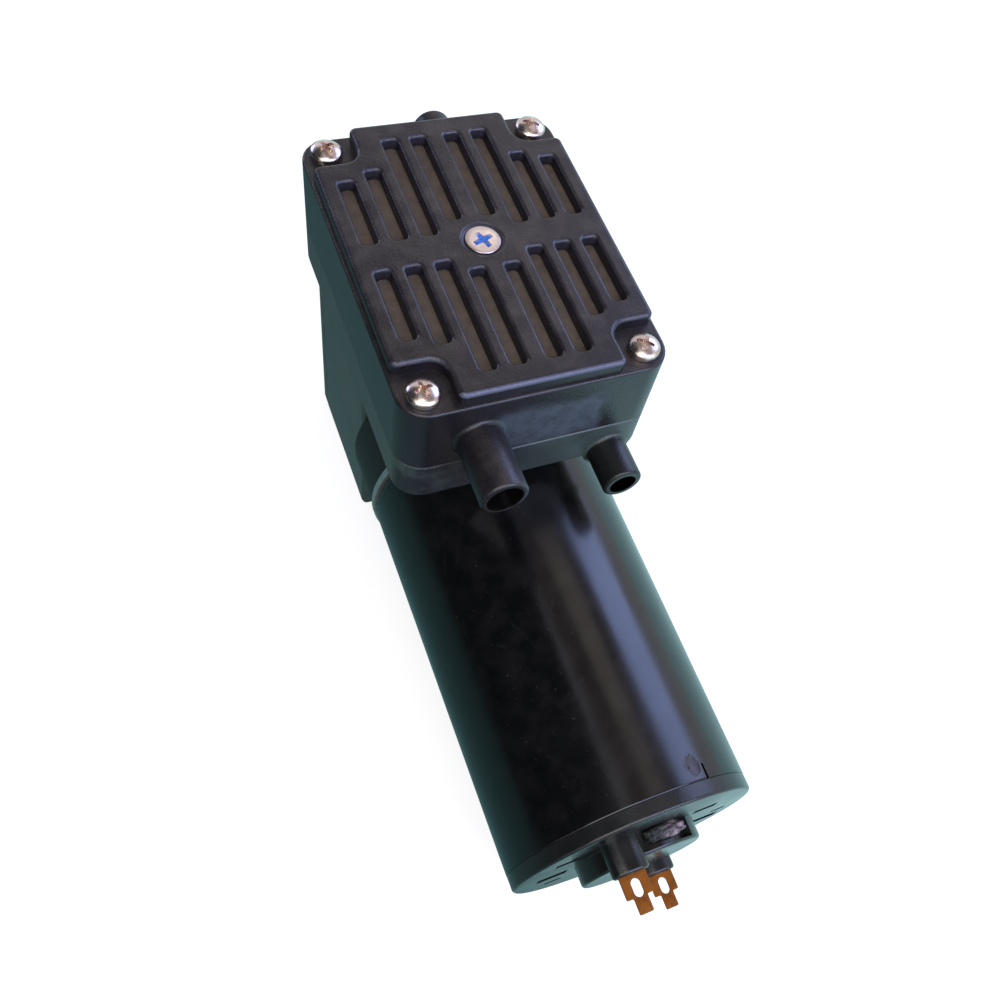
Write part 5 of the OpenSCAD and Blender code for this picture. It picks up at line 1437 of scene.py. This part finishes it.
BOSS_WALL = 0.8
profile = [(0.02, BOSS_FACE - BOSS_WALL), (BUSH_SEAT, BOSS_FACE - BOSS_WALL), (BUSH_SEAT, SPIGOT_FACE)]
profile += [(SPIGOT_RADIUS, SPIGOT_FACE), (SPIGOT_RADIUS, CAN_LENGTH), (CAP_RADIUS, CAN_LENGTH)]
profile += arc((CAP_RADIUS - CAP_EDGE, CAP_FACE - CAP_EDGE), CAP_EDGE, 0, 90, 6)
profile += [(BOSS_RADIUS + CAP_CORNER, CAP_FACE), (BOSS_RADIUS + 0.08, CAP_FACE + 0.08)]
profile += [(BOSS_RADIUS, CAP_FACE + CAP_CORNER)]
profile += arc((BOSS_RADIUS - BOSS_EDGE, BOSS_FACE - BOSS_EDGE), BOSS_EDGE, 0, 90, 6) + [(0.02, BOSS_FACE)]
body = bmesh.new()
lathe(body, profile, motor_place(), segments=160)
for x, y in BLADE_PLACES:
    ring_stack(body, post_rings(CAP_FACE - 1, POST_FACE), motor_place(x, y))
print("cap body:", len(body.faces), "faces")

# %% End cap openings
POCKET_RADIUS = 9.6
POCKET_TURN = (46, 104)
POCKET_WALL = 0.45
VENT_LIP = 0.15
VENT_UNDERCUT = 0.5
BLADE_ROOM = 0.12
VENTS = (
    (15.8, -5.6, 5.6, 3.2), (11.9, 7.5, 4.6, 2.4), (17.4, -1.0, 2.8, 1.4),
    (-14.9, -3.2, 5.6, 3.2), (-13.6, -10.0, 3.2, 1.6), (-13.9, 7.4, 4.4, 2.4),
)

cutters = bmesh.new()
outline = arc((0, 0), POCKET_RADIUS, POCKET_TURN[0], POCKET_TURN[1], 24)
outline += arc((0, 0), BOSS_RADIUS + 2, POCKET_TURN[1], POCKET_TURN[0], 24)
levels = (CAP_FACE + 0.05, BOSS_FACE - POCKET_WALL)
ring_stack(cutters, [[(x, y, z) for x, y in outline] for z in levels], motor_place())
half = BLADE_WIDTH / 2 + BLADE_ROOM
thin = BLADE_THICKNESS / 2 + BLADE_ROOM
for x, y in BLADE_PLACES:
    slab(cutters, motor_place(x, y), (-half, -thin, SPIGOT_FACE - 1), (half, thin, POST_FACE + 1))
for x, y, length, width in VENTS:
    slot = motor_place(x, y, CAP_FACE)
    slab(cutters, slot, (-length / 2, -width / 2, -1), (length / 2, width / 2, 1))
    wide = (length / 2 + VENT_UNDERCUT, width / 2 + VENT_UNDERCUT)
    slab(cutters, slot, (-wide[0], -wide[1], -9), (*wide, -VENT_LIP))
cap = carved("end_cap_fine", body, cutters, "cap_plastic")
shade(cap, 32)
polish_wall(cap, CAP_RADIUS)
install(cap, "cap_plastic", "casing", "end_cap")

# %% [markdown]
# Terminals
# Each blade is stamped from tinned copper strip that heat has browned. A stamping has rounded
# corners, an oblong hole for the wire and edges that the die has rolled over. The outline and the
# hole are filled together, thickened, and given a fine bevel.

# %% Terminals
BLADE_BACK = -3.0
BLADE_SHOULDER = 12.0
BLADE_TIP = 14.7
TIP_WIDTH = 2.4
HOLE_SIZE = (1.7, 3.0)
HOLE_MIDDLE = 10.6
CORNER_CUT = 0.3
DIE_ROLL = 0.06


def rounded_corners(points, radius):
    """Cuts each corner of a closed outline with a short curve."""
    count = len(points)
    outline = []
    for k, here in enumerate(points):
        here = Vector(here)
        before = (Vector(points[k - 1]) - here).normalized() * radius
        after = (Vector(points[(k + 1) % count]) - here).normalized() * radius
        for share in (0.0, 0.25, 0.5, 0.75, 1.0):
            outline.append(here + before * (1 - share) ** 2 + after * share ** 2)
    return outline


def only(kind, geometry):
    """The vertices, edges or faces out of a mixed list."""
    return [item for item in geometry if isinstance(item, kind)]


half = BLADE_WIDTH / 2
tip = TIP_WIDTH / 2
blade = [
    (-half, BLADE_BACK), (half, BLADE_BACK), (half, BLADE_SHOULDER), (tip, BLADE_SHOULDER),
    (tip, BLADE_TIP), (-tip, BLADE_TIP), (-tip, BLADE_SHOULDER), (-half, BLADE_SHOULDER),
]
straight = (HOLE_SIZE[1] - HOLE_SIZE[0]) / 2
hole = arc((0, HOLE_MIDDLE + straight), HOLE_SIZE[0] / 2, 0, 180, 14)
hole += arc((0, HOLE_MIDDLE - straight), HOLE_SIZE[0] / 2, 180, 360, 14)

bm = bmesh.new()
for x, y in BLADE_PLACES:
    place = motor_place(x, y, CAN_LENGTH)
    edges = []
    for loop in (rounded_corners(blade, CORNER_CUT), hole):
        verts = [bm.verts.new(place @ Vector((p[0], -BLADE_THICKNESS / 2, p[1]))) for p in loop]
        edges += [bm.edges.new((verts[k - 1], verts[k])) for k in range(len(verts))]
    filled = bmesh.ops.triangle_fill(bm, use_beauty=True, edges=edges)["geom"]
    grown = bmesh.ops.extrude_face_region(bm, geom=only(bmesh.types.BMFace, filled))["geom"]
    thicken = place.to_3x3() @ Vector((0, BLADE_THICKNESS, 0))
    bmesh.ops.translate(bm, vec=thicken, verts=only(bmesh.types.BMVert, grown))
blades = new_object("terminals_fine", tidy_mesh(bm, "terminals_fine"))
rounded_edges(blades, DIE_ROLL, 60)
settle(blades, blades.name)
shade(blades, SMOOTH_ANGLE)
install(blades, "terminal_copper", "casing", "terminals")

# %% [markdown]
# Suppressor
# The small part in the pocket of the end cap was dipped in its coating by hand, so it is a lump with
# no straight side. A ball of fine faces is pressed toward a slab and bent along the pocket's floor,
# and a noise pushes its skin in and out.

# %% Suppressor
LUMP_SIZE = (8.8, 3.0, 2.5)
LUMP_RADIUS = POCKET_RADIUS + 1.0
LUMP_TURN = 75
LUMP_LEVEL = CAP_FACE + 1.2
LUMP_BOXY = 0.62
LUMP_SWELL = 0.14
LUMP_PUSH = 1.8
LUMP_WAVES = 2.3
LUMP_SEED = (3.1, 7.7, 1.3)
LUMP_FRACTAL = (0.9, 2.1, 4)

bm = bmesh.new()
bmesh.ops.create_icosphere(bm, subdivisions=5, radius=1.0)
for vert in bm.verts:
    co = vert.co
    boxy = [math.copysign(abs(c) ** LUMP_BOXY, c) for c in co]
    wave = noise_module.fractal(co * LUMP_WAVES + Vector(LUMP_SEED), *LUMP_FRACTAL)
    swell = 1 - LUMP_SWELL + LUMP_SWELL * max(-1.0, min(1.0, wave * LUMP_PUSH))
    along, out, level = (b * s / 2 * swell for b, s in zip(boxy, LUMP_SIZE))
    turn = math.radians(LUMP_TURN) - along / LUMP_RADIUS
    radius = LUMP_RADIUS + out
    vert.co = Vector((radius * math.cos(turn), radius * math.sin(turn), LUMP_LEVEL + level))
bmesh.ops.transform(bm, matrix=motor_place(), verts=bm.verts)
lump = new_object("suppressor_fine", tidy_mesh(bm, "suppressor_fine"))
shade(lump, 60)
install(lump, "grey_lump", "casing", "suppressor")

# %% [markdown]
# Close the lesson
# The Standard view shows a colour about as it is written. The visual model's box is measured once
# more and set beside the imported one; the dressed pump is meant to be as large as the imported one, and the
# most that the two boxes differ by is printed.

# %% Close the lesson
bpy.context.scene.view_settings.view_transform = "Standard"
visual_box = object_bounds()
past = max(abs(v - c) for pair in zip(visual_box, cad_box) for v, c in zip(*pair))
print("the two boxes differ by", round(past / MM, 3), "mm at most")
